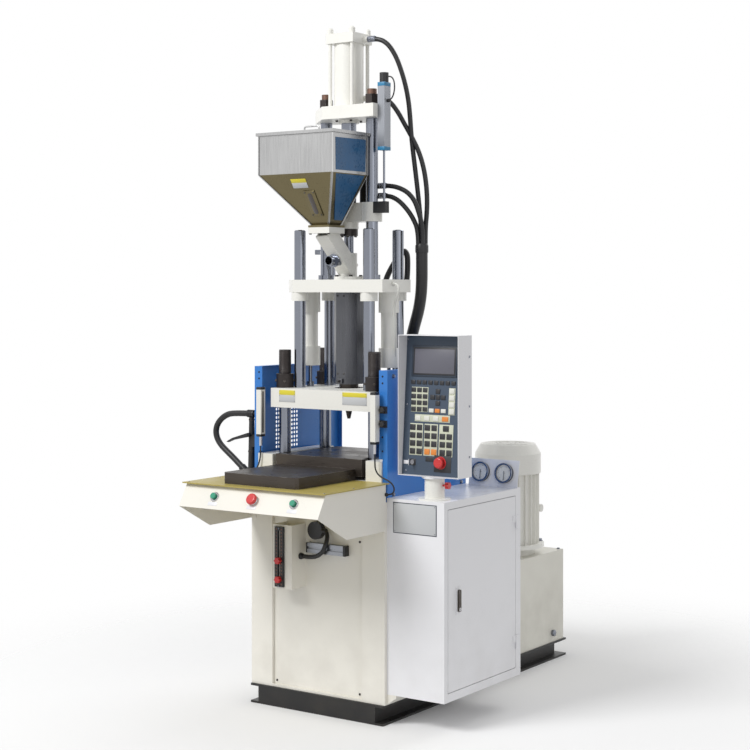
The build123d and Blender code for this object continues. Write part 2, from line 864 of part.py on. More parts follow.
def cabinet_box():
    """Sheet cabinet with the door opening on its right side and the fitted back plate."""
    box = span_box(cabinet_left, cabinet_right, -cabinet_front, cabinet_rear, cabinet_bottom, cabinet_top)
    box -= span_box(cabinet_left + sheet, cabinet_right - sheet, -cabinet_front + sheet,
                    cabinet_rear - sheet, cabinet_bottom + sheet, cabinet_top - sheet)
    box -= span_box(cabinet_right - sheet - cut_over, cabinet_right + cut_over, door_y0 - door_gap,
                    door_y1 + door_gap, door_z0 - door_gap, door_z1 + door_gap)
    axis_x = cabinet_right + hinge_out
    leaf_y = hinge_y + hinge_radius + free_gap
    for z in hinge_zs:
        box += upright(axis_x, hinge_y, z, z + hinge_length / 2, hinge_radius)
        box += span_box(cabinet_right, cabinet_right + hinge_leaf, leaf_y, leaf_y + hinge_leaf_width, z,
                        z + hinge_length)
        box += span_box(cabinet_right + free_gap, cabinet_right + hinge_leaf, hinge_y, leaf_y, z,
                        z + hinge_length / 2)
    return box + electrical_plate() + gauge_plate()


def electrical_plate():
    """Mounting plate inside the cabinet with its contactors, on two stand-off rails."""
    x0 = cabinet_left + sheet
    x1 = x0 + plate_stand
    y0 = -cabinet_front + plate_margin
    y1 = cabinet_rear - plate_margin
    z0 = cabinet_bottom + plate_margin
    z1 = cabinet_top - plate_margin
    plate = span_box(x1, x1 + plate_thick, y0, y1, z0, z1)
    for y in (y0, y1 - plate_margin):
        plate += span_box(x0, x1, y, y + plate_margin, z0, z1)
    for row in range(contactor_rows):
        for column in range(contactor_columns):
            y = (y0 + y1) / 2 + (column - (contactor_columns - 1) / 2) * contactor_pitch_y
            z = (z0 + z1) / 2 + (row - (contactor_rows - 1) / 2) * contactor_pitch_z
            plate += span_box(x1 + plate_thick, x1 + plate_thick + contactor_depth, y - contactor_width / 2,
                              y + contactor_width / 2, z - contactor_height / 2, z + contactor_height / 2)
    return plate


def cabinet_door():
    """Folded door pan with hinge knuckles and the lock's dish."""
    door = span_box(cabinet_right - door_depth, cabinet_right, door_y0, door_y1, door_z0, door_z1)
    door -= span_box(cabinet_right - door_depth - cut_over, cabinet_right - sheet, door_y0 + sheet,
                     door_y1 - sheet, door_z0 + sheet, door_z1 - sheet)
    axis_x = cabinet_right + hinge_out
    for z in hinge_zs:
        door += upright(axis_x, hinge_y, z + hinge_length / 2, z + hinge_length, hinge_radius)
        door += span_box(cabinet_right, cabinet_right + hinge_leaf, hinge_y - hinge_leaf_width, hinge_y,
                         z + hinge_length / 2, z + hinge_length)
    door += span_box(cabinet_right, cabinet_right + lock_plate, lock_y - lock_width / 2,
                     lock_y + lock_width / 2, lock_z - lock_height / 2, lock_z + lock_height / 2)
    pin_z = lock_z + lock_height / 2 - lever_pin_drop
    door -= bar_along_x(cabinet_right - sheet - cut_over, cabinet_right + lock_plate + cut_over,
                        lock_y, pin_z, lever_pin_radius + run_fit)
    return door


def door_lock():
    """Swing lever of the door lock, with its pin through the door."""
    pin_z = lock_z + lock_height / 2 - lever_pin_drop
    x0 = cabinet_right + lock_plate
    lever = span_box(x0, x0 + lever_thick, lock_y - lever_width / 2, lock_y + lever_width / 2,
                     lock_z - lock_height / 2 + lever_margin, pin_z + lever_width / 2)
    lever = fillet(lever.edges().filter_by(Axis.X), lever_width / 3)
    lever += bar_along_x(cabinet_right - door_depth, x0, lock_y, pin_z, lever_pin_radius)
    return lever


def panel_pedestal():
    """Flanged pipe on the cabinet's top that carries the control panel."""
    pedestal = upright(pedestal_x, pedestal_y, cabinet_top, cabinet_top + pedestal_flange_thick,
                       pedestal_flange_radius)
    pedestal += upright(pedestal_x, pedestal_y, cabinet_top, pedestal_top, pedestal_radius)
    pedestal -= upright(pedestal_x, pedestal_y, pedestal_top - spigot_length - free_gap,
                        pedestal_top + cut_over, spigot_radius + run_fit)
    pedestal -= bar_along_x(pedestal_x + spigot_radius / 2, pedestal_x + pedestal_radius + cut_over,
                            pedestal_y,
                            pedestal_top - lock_knob_drop, knob_stud_radius + run_fit)
    return pedestal


def pedestal_knob():
    """Star knob that locks the panel's swivel."""
    boss_end = pedestal_x + pedestal_radius + lock_knob_stand
    plane = Plane(origin=(boss_end, pedestal_y, pedestal_top - lock_knob_drop), x_dir=(0, 1, 0), z_dir=(1,
                                                                                                        0,
                                                                                                        0))
    knob = on_plane(plane, star_knob())
    stud_start = pedestal_x + spigot_radius + free_gap
    return knob + bar_along_x(stud_start, boss_end, pedestal_y, pedestal_top - lock_knob_drop,
                              knob_stud_radius)


panel_left = pedestal_x - panel_width / 2
panel_right = pedestal_x + panel_width / 2
panel_front = pedestal_y - panel_depth / 2
panel_top = panel_bottom + panel_height
face_y0 = panel_front + face_recess_bottom
face_y1 = panel_front + face_recess_top
face_z0 = panel_bottom + sheet
face_z1 = panel_top - sheet


def panel_housing():
    """Control panel housing: a hood open to the front, with its swivel spigot."""
    hood = span_box(panel_left, panel_right, panel_front, panel_front + panel_depth, panel_bottom, panel_top)
    hood -= span_box(panel_left + sheet, panel_right - sheet, panel_front - cut_over,
                     panel_front + panel_depth - sheet, panel_bottom + sheet, panel_top - sheet)
    hood += upright(pedestal_x, pedestal_y, pedestal_top, panel_bottom, panel_collar_radius)
    hood += upright(pedestal_x, pedestal_y, pedestal_top - spigot_length, pedestal_top, spigot_radius)
    return hood


def face_plane(x, up):
    """Frame on the panel's leaning face, with its normal towards the operator."""
    share = up / (face_z1 - face_z0)
    lean = math.hypot(face_y1 - face_y0, face_z1 - face_z0)
    normal = (0, -(face_z1 - face_z0) / lean, (face_y1 - face_y0) / lean)
    origin = (x, face_y0 + (face_y1 - face_y0) * share, face_z0 + up)
    return Plane(origin=origin, x_dir=(1, 0, 0), z_dir=normal)


stop_plane = face_plane(panel_right - stop_from_right, stop_up)
switch_plane = face_plane(panel_left + switch_from_left, switch_up)


def panel_face():
    """Leaning front plate of the control panel, with its two switch holes."""
    points = [(face_y0, face_z0), (face_y1, face_z1), (face_y1 + face_thick, face_z1),
              (face_y0 + face_thick, face_z0)]
    face = prism_x(points, panel_left + sheet, panel_right - sheet)
    face -= on_plane(stop_plane, Cylinder(stop_stem_radius + run_fit, stop_back))
    face -= on_plane(switch_plane, Cylinder(switch_radius + run_fit, stop_back))
    return face


def panel_stop():
    """Red stop button of the panel."""
    button = mushroom_button(stop_stem_radius, stop_radius, stop_stand, stop_thick, stop_back, face_thick)
    return on_plane(stop_plane, button)


def key_switch():
    """Key switch barrel with its key."""
    switch = upright(0, 0, -stop_back, switch_stand, switch_radius)
    switch += span_box(-switch_key_thick / 2, switch_key_thick / 2, -switch_key_length / 2,
                       switch_key_length / 2, switch_stand, switch_stand + switch_key_height)
    return on_plane(switch_plane, switch)


gauge_lean = math.radians(gauge_plate_lean)
gauge_foot_y = cabinet_rear - gauge_plate_setback


def gauge_plane(x):
    """Frame on the gauge plate's face, with its normal towards the operator."""
    origin = (x, gauge_foot_y + gauge_up * math.tan(gauge_lean), cabinet_top + gauge_up)
    return Plane(origin=origin, x_dir=(1, 0, 0), z_dir=(0, -math.cos(gauge_lean), math.sin(gauge_lean)))


def gauge_plate():
    """Folded leaning plate behind the panel that holds the two gauges."""
    lean_y = gauge_plate_height * math.tan(gauge_lean)
    top_z = cabinet_top + gauge_plate_height
    points = [(gauge_foot_y, cabinet_top), (gauge_foot_y + lean_y, top_z),
              (gauge_foot_y + lean_y + sheet, top_z), (gauge_foot_y + sheet, cabinet_top + sheet),
              (gauge_foot_y + gauge_plate_foot, cabinet_top + sheet),
              (gauge_foot_y + gauge_plate_foot, cabinet_top)]
    plate = prism_x(points, cabinet_right - gauge_plate_width, cabinet_right)
    for x in gauge_xs:
        plate -= on_plane(gauge_plane(x), Cylinder(gauge_body_radius, gauge_back))
    return plate


def gauge_cases():
    """The two gauge cases, each with a well for its dial."""
    cases = []
    for x in gauge_xs:
        case = upright(0, 0, 0, gauge_front, gauge_radius)
        case += upright(0, 0, -gauge_back, 0, gauge_body_radius)
        case -= upright(0, 0, gauge_front - gauge_well_depth, gauge_front + cut_over, gauge_well_radius)
        case -= upright(0, 0, -gauge_back / 2, gauge_front, needle_pin_radius + run_fit)
        cases.append(on_plane(gauge_plane(x), case))
    return Compound(children=cases)


def gauge_needle(x):
    """Needle on its spindle, pointing down at rest."""
    lift = gauge_front - gauge_well_depth + needle_lift
    needle = span_box(-needle_width / 2, needle_width / 2, -needle_length, needle_tail, lift,
                      lift + needle_thick)
    needle += upright(0, 0, -gauge_back / 2 + free_gap, lift + needle_thick, needle_pin_radius)
    return on_plane(gauge_plane(x), needle)


def oil_tank():
    """Welded oil tank with the pump's opening and a filler."""
    tank = span_box(-tank_half_x, tank_half_x, tank_front, tank_rear, base_height, tank_top)
    tank -= span_box(-tank_half_x + tank_wall, tank_half_x - tank_wall, tank_front + tank_wall,
                     tank_rear - tank_wall, base_height + tank_wall, tank_top - tank_wall)
    tank -= upright(motor_x, motor_y, tank_top - tank_wall - cut_over, tank_top + cut_over,
                    pump_radius + run_fit)
    tank += upright(filler_x, filler_y, tank_top, tank_top + filler_height, filler_radius)
    return tank


flange_z0 = tank_top + bell_height
flange_z1 = flange_z0 + motor_flange_thick
stator_top = flange_z1 + stator_length
fan_cover_shoulder = stator_top + fan_cover_height
fan_cover_top = fan_cover_shoulder + fan_crown_height
fan_bottom = stator_top + fan_rise


def motor_body():
    """Finned motor with its flange, bell housing, terminal box and the pump below."""
    body = upright(motor_x, motor_y, tank_top - pump_length, tank_top, pump_radius)
    body += upright(motor_x, motor_y, tank_top, flange_z0, bell_radius)
    body += upright(motor_x, motor_y, flange_z0, flange_z1, motor_flange_radius)
    body += upright(motor_x, motor_y, flange_z1, stator_top, stator_radius)
    fin_length = stator_radius + fin_out
    fin_low = flange_z1
    fin = span_box(0, fin_length, -fin_thick / 2, fin_thick / 2, fin_low, stator_top)
    body += [Pos(motor_x, motor_y, 0) * Rot(0, 0, i * 360 / fin_count) * fin for i in range(fin_count)]
    body += upright(motor_x, motor_y, stator_top, stator_top + shield_thick, shield_radius)
    terminal_y = motor_y + stator_radius
    terminal_x = motor_x + terminal_width / 2
    body += span_box(motor_x - terminal_width / 2, terminal_x, motor_y, terminal_y + terminal_out,
                     terminal_z - terminal_height / 2, terminal_z + terminal_height / 2)
    body += bar_along_x(terminal_x, terminal_x + terminal_gland_length, terminal_y + terminal_out / 2,
                        terminal_z - terminal_gland_drop, terminal_gland_radius)
    body -= upright(motor_x, motor_y, flange_z1 + motor_flange_thick, stator_top, stator_bore)
    body -= upright(motor_x, motor_y, flange_z0, stator_top + shield_thick + cut_over, shaft_radius + run_fit)
    return body


def motor_fan_cover():
    """Pressed fan cover with a slotted crown."""
    low = stator_top
    outer = upright(motor_x, motor_y, low, fan_cover_shoulder, shield_radius + fan_cover_wall)
    outer += cone_up(motor_x, motor_y, fan_cover_shoulder, fan_cover_top, shield_radius + fan_cover_wall,
                     fan_cover_top_radius)
    inner = upright(motor_x, motor_y, low - cut_over, fan_cover_shoulder, shield_radius)
    inner += cone_up(motor_x, motor_y, fan_cover_shoulder, fan_cover_top - fan_cover_wall, shield_radius,
                     fan_cover_top_radius - fan_cover_wall)
    cover = outer - inner
    slot = span_box(fan_slot_inner, fan_slot_outer, -fan_slot_half, fan_slot_half,
                    fan_cover_top - fan_cover_wall - cut_over, fan_cover_top + cut_over)
    turns = [i * 360 / fan_slot_count for i in range(fan_slot_count)]
    return cover - [Pos(motor_x, motor_y, 0) * Rot(0, 0, turn) * slot for turn in turns]


def motor_rotor():
    """Shaft with rotor core and cooling fan."""
    rotor = upright(motor_x, motor_y, flange_z0 + free_gap, fan_bottom + fan_height, shaft_radius)
    core_low = flange_z1 + motor_flange_thick + rotor_margin
    rotor += upright(motor_x, motor_y, core_low, stator_top - rotor_margin, stator_bore - rotor_gap)
    rotor += upright(motor_x, motor_y, fan_bottom, fan_bottom + fan_height, fan_hub_radius)
    blade = span_box(0, fan_blade_radius, -fan_blade_thick / 2, fan_blade_thick / 2, fan_bottom,
                     fan_bottom + fan_height)
    turns = [i * 360 / fan_blade_count for i in range(fan_blade_count)]
    return rotor + [Pos(motor_x, motor_y, 0) * Rot(0, 0, turn) * blade for turn in turns]


def lubricator():
    """Hand lubrication pump on the left guard, with its ports and lever pivot."""
    x = -lube_x
    body = cone_up(x, lube_y, lube_bottom, lube_top, lube_bottom_radius, lube_top_radius)
    body += span_box(x, -tower_half_x, lube_y - lube_arm_width / 2, lube_y + lube_arm_width / 2,
                     lube_arm_z - lube_arm_height / 2, lube_arm_z + lube_arm_height / 2)
    hub_y = lube_y - lube_bottom_radius
    body += bar_along_y(x, hub_y - lever_pivot_length, lube_y, lever_z, lever_pivot_radius)
    port_end = Vector(*lube_route[0])
    port_plane = Plane(origin=port_end, z_dir=port_end - Vector(*lube_route[1]))
    body += on_plane(port_plane, upright(0, 0, 0, lube_port_length, lube_port_radius))
    outlet = bar_along_x(-tower_half_x - lube_outlet_length, -tower_half_x, lube_y, lube_outlet_z,
                         lube_port_radius)
    return Compound(children=[body, outlet])


def lubricator_lever():
    """Hand lever of the lubrication pump, a tapered blade that droops from its pivot."""
    hub_y = lube_y - lube_bottom_radius - free_gap
    plane = Plane(origin=(-lube_x, hub_y, lever_z), x_dir=(-1, 0, 0), z_dir=(0, -1, 0))
    outline = [(0, -lever_hub_radius)]
    outline += [(lever_reach * out, lever_drop * down) for out, down in lever_blade_shares]
    outline += [(0, lever_hub_radius)]
    lever = prism_z(outline, 0, lever_hub_width) + upright(0, 0, 0, lever_hub_width, lever_hub_radius)
    lever -= upright(0, 0, -cut_over, lever_hub_width + cut_over, lever_pivot_radius + run_fit)
    return on_plane(plane, lever)


def moving_platen():
    """Moving platen with the barrel's bore, tie bar holes and the upper mould's bolt holes."""
    platen = span_box(-platen_half_x, platen_half_x, -platen_half_y, platen_half_y, platen_bottom, platen_top)
    platen -= upright(0, 0, platen_bottom - cut_over, platen_top + cut_over, platen_bore_radius)
    for x, y in four_ties:
        platen -= upright(x, y, platen_bottom - cut_over, platen_top + cut_over, tie_radius)
    for sx in (-1, 1):
        for sy in (-1, 1):
            platen -= upright(sx * mould_bolt_x, sy * mould_bolt_y, platen_bottom - cut_over,
                              platen_bottom + mould_bolt_depth, mould_bolt_radius)
    return platen


def tie_bars():
    """Four tie bars, each with its upper and lower nut."""
    bars = []
    for x, y in four_ties:
        bar = upright(x, y, tie_bottom, tie_top, tie_radius)
        bar += upright(x, y, platen_top, platen_top + tie_nut_height, tie_nut_radius)
        bar += upright(x, y, tie_bottom, crosshead_bottom, tie_nut_radius)
        bars.append(bar)
    return Compound(children=bars)


def lower_crosshead():
    """Crosshead under the clamp cylinder, with the ram and its piston."""
    head = span_box(-crosshead_half_x, crosshead_half_x, -crosshead_half_y, crosshead_half_y,
                    crosshead_bottom, crosshead_top)
    for x, y in four_ties:
        head -= upright(x, y, crosshead_bottom - cut_over, crosshead_top + cut_over, tie_radius)
    piston_top = tower_top - clamp_roof - ram_top_gap
    head += upright(0, 0, crosshead_top, piston_top, ram_radius)
    head += upright(0, 0, piston_top - ram_piston_thick, piston_top, clamp_bore_radius - run_fit)
    return head


def guide_posts():
    """Four guide posts of the injection seat."""
    posts = []
    for x, y in four_posts:
        post = upright(x, y, platen_top, post_top, post_radius)
        posts.append(chamfer(post.faces().sort_by(Axis.Z)[-1].edges(), post_chamfer))
    return Compound(children=posts)


def seat_rods():
    """Piston rods of the two seat cylinders, fixed to the moving platen."""
    rods = []
    for x in (-seat_cyl_x, seat_cyl_x):
        rod = upright(x, 0, platen_top, seat_piston_top, seat_rod_radius)
        rod += upright(x, 0, platen_top, platen_top + seat_rod_nut_height, seat_rod_nut_radius)
        rod += upright(x, 0, seat_piston_top - seat_piston_thick, seat_piston_top, seat_bore_radius - run_fit)
        rods.append(rod)
    return Compound(children=rods)


def seat_plate():
    """Seat plate with guide bosses below."""
    plate = cut_corner_plate(seat_half_x, seat_half_y, seat_corner, seat_bottom, seat_top)
    for x, y in four_posts:
        plate += upright(x, y, seat_bottom - seat_boss_drop, seat_bottom, seat_boss_radius)
    for x, y in four_posts:
        plate -= upright(x, y, seat_bottom - seat_boss_drop - cut_over, seat_top + cut_over,
                         post_radius + run_fit)
    plate -= upright(0, 0, seat_bottom - cut_over, seat_top + cut_over, barrel_radius)
    return plate


def seat_cylinders():
    """Two seat cylinders hung under the seat plate."""
    cylinders = []
    for x in (-seat_cyl_x, seat_cyl_x):
        collar_low = seat_bottom - seat_collar_length
        tube_low = collar_low - seat_tube_length
        head_low = tube_low - seat_head_length
        cylinder = upright(x, 0, collar_low, seat_bottom, seat_collar_radius)
        cylinder += upright(x, 0, tube_low, collar_low, seat_tube_radius)
        cylinder += upright(x, 0, head_low, tube_low, seat_collar_radius)
        cylinder -= upright(x, 0, head_low + seat_gland, seat_bottom - seat_roof, seat_bore_radius)
        cylinder -= upright(x, 0, head_low - cut_over, head_low + seat_gland + cut_over,
                            seat_rod_radius + run_fit)
        cylinders.append(cylinder)
    return Compound(children=cylinders)


def barrel():
    """Heated barrel with its nozzle."""
    tube = upright(0, 0, barrel_bottom, seat_top, barrel_radius)
    tube += cone_up(0, 0, nozzle_tip, barrel_bottom, nozzle_tip_radius, nozzle_radius)
    tube -= upright(0, 0, barrel_bottom, seat_top + cut_over, screw_radius + run_fit)
    tube -= upright(0, 0, nozzle_tip - cut_over, barrel_bottom + cut_over, nozzle_orifice_radius)
    return tube


def octagon(half_flat, z0, z1):
    """An eight-sided prism about the barrel's axis."""
    corner = half_flat / math.cos(math.pi / 8)
    points = [(corner * math.cos(math.pi / 8 + i * math.pi / 4),
               corner * math.sin(math.pi / 8 + i * math.pi / 4))
              for i in range(8)]
    return prism_z(points, z0, z1)


def barrel_shield():
    """Eight-sided heat shield round the barrel, with a clamping band at its foot."""
    shield = octagon(shield_half_flat, shield_bottom, seat_bottom)
    shield += octagon(shield_half_flat + band_out, shield_bottom - band_height, shield_bottom)
    return shield - octagon(shield_half_flat - shield_sheet, shield_bottom - band_height - cut_over,
                            seat_bottom + cut_over)


chute_low = Vector(0, 0, seat_top + chute_foot_rise)
chute_high = Vector(outlet_x, outlet_y, outlet_z - chute_flange_thick)
chute_axis = chute_high - chute_low


def chute_prism(half, before, after):
    """A square bar along the chute, longer than it by the given ends."""
    length = chute_axis.length + before + after
    unit = chute_axis.normalized()
    plane = Plane(origin=chute_low - unit * before, x_dir=(1, 0, 0), z_dir=unit)
    return on_plane(plane, Pos(0, 0, length / 2) * Box(2 * half, 2 * half, length))


def feed_chute():
    """Feed throat casting: foot flange, screw collar, slanting chute, hopper flange and drain."""
    casting = upright(0, 0, seat_top, seat_top + throat_flange_thick, throat_flange_radius)
    casting += upright(0, 0, seat_top, throat_top, throat_radius)
    casting += chute_prism(chute_half, 0, chute_flange_thick / 2)
    high = outlet_z
    low = outlet_z - chute_flange_thick
    casting += span_box(outlet_x - chute_flange_half, outlet_x + chute_flange_half,
                        outlet_y - chute_flange_half,
                        outlet_y + chute_flange_half, low, high)
    casting -= span_box(outlet_x - chute_flange_half - cut_over, outlet_x + chute_flange_half + cut_over,
                        outlet_y - chute_flange_half - cut_over, outlet_y + chute_flange_half + cut_over,
                        high, high + chute_flange_thick)
    drain_share = (drain_z - chute_low.Z) / (chute_high.Z - chute_low.Z)
    drain_x = outlet_x * drain_share
    drain_back = outlet_y * drain_share
    drain_front = drain_back - chute_half - drain_length
    casting += bar_along_y(drain_x, drain_front, drain_back, drain_z, drain_radius)
    ring_y = drain_front + drain_length * drain_ring_share
    casting += bar_along_y(drain_x, ring_y, ring_y + drain_ring_thick, drain_z, drain_ring_radius)
    casting -= chute_prism(chute_half - chute_wall, 0, chute_flange_thick * 2)
    casting -= bar_along_y(drain_x, drain_front - cut_over, drain_back, drain_z, drain_radius - drain_wall)
    casting -= upright(0, 0, seat_top - cut_over, throat_top + cut_over, screw_radius + run_fit)
    slot_y = shutter_y()
    casting -= span_box(-shutter_out, shutter_in + free_gap, slot_y - shutter_half_y - free_gap,
                        slot_y + shutter_half_y + free_gap, shutter_z - free_gap / 2,
                        shutter_z + shutter_thick + free_gap / 2)
    return casting


def shutter_y():
    """Where the chute's axis crosses the shutter's level."""
    return outlet_y * (shutter_z - chute_low.Z) / (chute_high.Z - chute_low.Z)


def chute_shutter():
    """Slide plate that shuts the chute, with a folded tab to pull it."""
    y = shutter_y()
    plate = span_box(-shutter_out, shutter_in, y - shutter_half_y, y + shutter_half_y, shutter_z,
                     shutter_z + shutter_thick)
    plate += span_box(-shutter_out, -shutter_out + shutter_thick, y - shutter_half_y, y + shutter_half_y,
                      shutter_z - shutter_tab_length, shutter_z + shutter_thick)
    return plate


def hopper_body(inset, top_over):
    """The hopper's outer or inner form: an upright box over an offset pyramid."""
    half = outlet_half - inset
    left = -hopper_left + inset
    right = hopper_right - inset
    front = -hopper_front + inset
    back = -hopper_back - inset
    wide = Pos((left + right) / 2, (front + back) / 2, hopper_break) * Rectangle(right - left, back - front)
    narrow = Pos(outlet_x, outlet_y, outlet_z) * Rectangle(2 * half, 2 * half)
    body = loft([narrow, wide])
    return body + span_box(left, right, front, back, hopper_break, hopper_top + top_over)


def hopper():
    """Sheet hopper with a rim, and the foot flange that bolts to the chute."""
    shell = hopper_body(0, 0)
    shell += span_box(outlet_x - chute_flange_half, outlet_x + chute_flange_half,
                      outlet_y - chute_flange_half,
                      outlet_y + chute_flange_half, outlet_z, outlet_z + hopper_foot)
    shell += span_box(-hopper_left - lid_over / 2, hopper_right + lid_over / 2, -hopper_front - lid_over / 2,
                      -hopper_back + lid_over / 2, hopper_top - lid_thick, hopper_top)
    shell -= hopper_body(hopper_sheet, cut_over)
    return shell - span_box(outlet_x - outlet_half + hopper_sheet, outlet_x + outlet_half - hopper_sheet,
                            outlet_y - outlet_half + hopper_sheet, outlet_y + outlet_half - hopper_sheet,
                            outlet_z - cut_over, outlet_z + hopper_foot)


def hopper_lid():
    """Flat lid with a folded skirt and a bent wire handle."""
    top = hopper_top + lid_thick
    lid = span_box(-hopper_left - lid_over, hopper_right + lid_over, -hopper_front - lid_over,
                   -hopper_back + lid_over, hopper_top - lid_skirt, top)
    inner = lid_over / 2 + lid_gap
    lid -= span_box(-hopper_left - inner, hopper_right + inner, -hopper_front - inner, -hopper_back + inner,
                    hopper_top - lid_skirt - cut_over, hopper_top)
    points = [(handle_x - handle_length / 2, handle_y, top), (handle_x - handle_length / 2, handle_y,
                                                              top + handle_height),
              (handle_x + handle_length / 2, handle_y, top + handle_height),
              (handle_x + handle_length / 2, handle_y, top)]
    wire = FilletPolyline(*points, radius=handle_bend)
    section = Plane(origin=wire @ 0, z_dir=wire % 0) * Circle(handle_radius)
    return lid + sweep(section, path=wire)


def injection_rods():
    """Two injection rods with their feet and top nuts."""
    rods = []
    for x, y in two_rods:
        rod = upright(x, y, seat_top, top_top + rod_nut_height, rod_radius)
        rod += upright(x, y, seat_top, seat_top + rod_foot_height, rod_foot_radius)
        nut = extrude(RegularPolygon(rod_nut_radius, 6), amount=rod_nut_height)
        rod += Pos(x, y, top_top) * nut
        rod += upright(x, y, top_top + rod_nut_height, top_top + rod_nut_height + rod_end_height,
                       rod_end_radius)
        rods.append(rod)
    return Compound(children=rods)


def top_plate():
    """Top plate that ties the injection rods and carries the injection cylinder."""
    plate = cut_corner_plate(top_half_x, top_half_y, top_corner, top_bottom, top_top)
    plate += upright(0, 0, top_bottom - top_gland_drop, top_bottom, top_gland_radius)
    for x, y in two_rods:
        plate -= upright(x, y, top_bottom - cut_over, top_top + cut_over, rod_radius)
    return plate - upright(0, 0, top_bottom - top_gland_drop - cut_over, top_top + cut_over,
                           inj_ram_radius + run_fit)


def injection_cylinder():
    """Tie-rod cylinder with its square cap, stays, nuts and two hose ports."""
    body = upright(0, 0, top_top, cyl_tube_top, cyl_radius)
    body += span_box(-cap_half, cap_half, -cap_half, cap_half, cyl_tube_top, cap_top)
    for sx in (-1, 1):
        for sy in (-1, 1):
            x = sx * stay_offset
            y = sy * stay_offset
            body += upright(x, y, top_top, cap_top, stay_radius)
            body += upright(x, y, cap_top, cap_top + stay_nut_height, stay_nut_radius)
            dome = cap_top + stay_nut_height
            body += cone_up(x, y, dome, dome + stay_dome_height, stay_nut_radius, stay_radius)
    body += bar_along_x(cap_half, hose_upper[0][0], hose_upper[0][1], upper_port_z, port_radius)
    body += bar_along_x(0, hose_lower[0][0], hose_lower[0][1], lower_port_z, port_radius)
    body -= upright(0, 0, top_top + cyl_floor, cyl_tube_top - cyl_roof, cyl_bore_radius)
    return body - upright(0, 0, top_top - cut_over, top_top + cyl_floor + cut_over, inj_ram_radius + run_fit)


def injection_crosshead():
    """Yoke on the injection rods with the screw's bearing housing, the gear case and the ram."""
    angle = math.degrees(math.atan2(rod_y, rod_x))
    span = math.hypot(rod_x, rod_y)
    arm = span_box(-span, span, -yoke_arm_half, yoke_arm_half, yoke_bottom, yoke_top)
    yoke = Rot(0, 0, angle) * arm
    for x, y in two_rods:
        yoke += upright(x, y, yoke_bottom, yoke_top, yoke_boss_radius)
    yoke += upright(0, 0, bearing_bottom, yoke_top, bearing_radius)
    flange_low = bearing_bottom - bearing_flange_thick
    yoke += upright(0, 0, flange_low, bearing_bottom, bearing_flange_radius)
    yoke += upright(gear_x, gear_y, yoke_bottom + gear_drop, yoke_top, gear_radius)
    yoke += upright(0, 0, yoke_top, inj_piston_top, inj_ram_radius)
    yoke += upright(0, 0, inj_piston_top - inj_piston_thick, inj_piston_top, cyl_bore_radius - run_fit)
    for x, y in two_rods:
        yoke -= upright(x, y, yoke_bottom - cut_over, yoke_top + cut_over, rod_radius + run_fit)
    yoke -= upright(0, 0, flange_low - cut_over, bearing_bottom + screw_shank, screw_radius + run_fit)
    return yoke + transducer_rod()


def screw_motor():
    """Hydraulic motor that turns the screw through the gear case, with two hose ports."""
    motor = upright(gear_x, gear_y, yoke_top, yoke_top + drive_height, drive_radius)
    for route in (hose_drive_high, hose_drive_low):
        motor += bar_along_x(gear_x, route[0][0], gear_y, route[0][2], port_radius)
    return motor


def screw():
    """Plasticising screw, drawn back by its stroke, with its shank up in the bearing housing."""
    tip_z = barrel_bottom + screw_stroke + free_gap
    neck_z = tip_z + screw_tip_length
    shaft = upright(0, 0, neck_z, bearing_bottom + screw_shank - free_gap, screw_radius)
    tip = cone_up(0, 0, tip_z, neck_z, screw_core_radius / 2, screw_core_radius)
    return shaft + tip


ruler_x0 = top_half_x
ruler_x1 = top_half_x + ruler_depth
ruler_x = (ruler_x0 + ruler_x1) / 2


def transducer_body():
    """Linear transducer on the top plate's end, with end caps and plug."""
    half = ruler_width / 2
    body = span_box(ruler_x0, ruler_x1, ruler_y - half, ruler_y + half, ruler_bottom - ruler_cap,
                    ruler_top + ruler_cap)
    body += upright(ruler_x, ruler_y, ruler_top + ruler_cap, ruler_top + ruler_cap + ruler_plug_length,
                    ruler_plug_radius - free_gap)
    return body - upright(ruler_x, ruler_y, ruler_bottom - ruler_cap - cut_over,
                          ruler_bottom + ruler_rod_inside + cut_over, ruler_rod_radius + run_fit)


def transducer_rod():
    """Measuring rod of the transducer, on an arm of the crosshead."""
    rod = upright(ruler_x, ruler_y, ruler_arm_z, ruler_bottom + ruler_rod_inside, ruler_rod_radius)
    arm = span_box(rod_x, ruler_x + ruler_arm_half, ruler_y - ruler_arm_half, ruler_y + ruler_arm_half,
                   ruler_arm_z, ruler_arm_z + ruler_arm_height)
    arm -= upright(rod_x, rod_y, ruler_arm_z - cut_over, ruler_arm_z + ruler_arm_height + cut_over,
                   yoke_boss_radius)
    return arm.solids().sort_by(Axis.X)[-1] + rod


def hose_tube(points, radius, name):
    """A hose along straight runs joined by the largest tangent arcs that its runs allow."""
    corners = [Vector(*p) for p in points]
    radii = []
    for before, corner, after in zip(corners, corners[1:], corners[2:]):
        turn = math.radians((corner - before).get_angle(after - corner))
        shorter = min((corner - before).length, (after - corner).length)
        radii.append(hose_share * shorter / math.tan(turn / 2))
    line = FilletPolyline(*corners, radius=radii)
    section = Plane(origin=line @ 0, z_dir=line % 0) * Circle(radius)
    tube = sweep(section, path=line)
    plain = math.pi * radius ** 2 * line.length
    print(name, "length", round(line.length), "least radius", round(min(radii)), "radii",
          [round(r) for r in radii], "volume share", round(tube.volume / plain, 4))
    return tube


def hydraulic_hoses():
    """Four pressure hoses from the injection unit to the gathered sleeve."""
    routes = {"upper": hose_upper, "lower": hose_lower, "drive high": hose_drive_high,
    "drive low": hose_drive_low}
    return Compound(children=[hose_tube(route, hose_radius, name) for name, route in routes.items()])


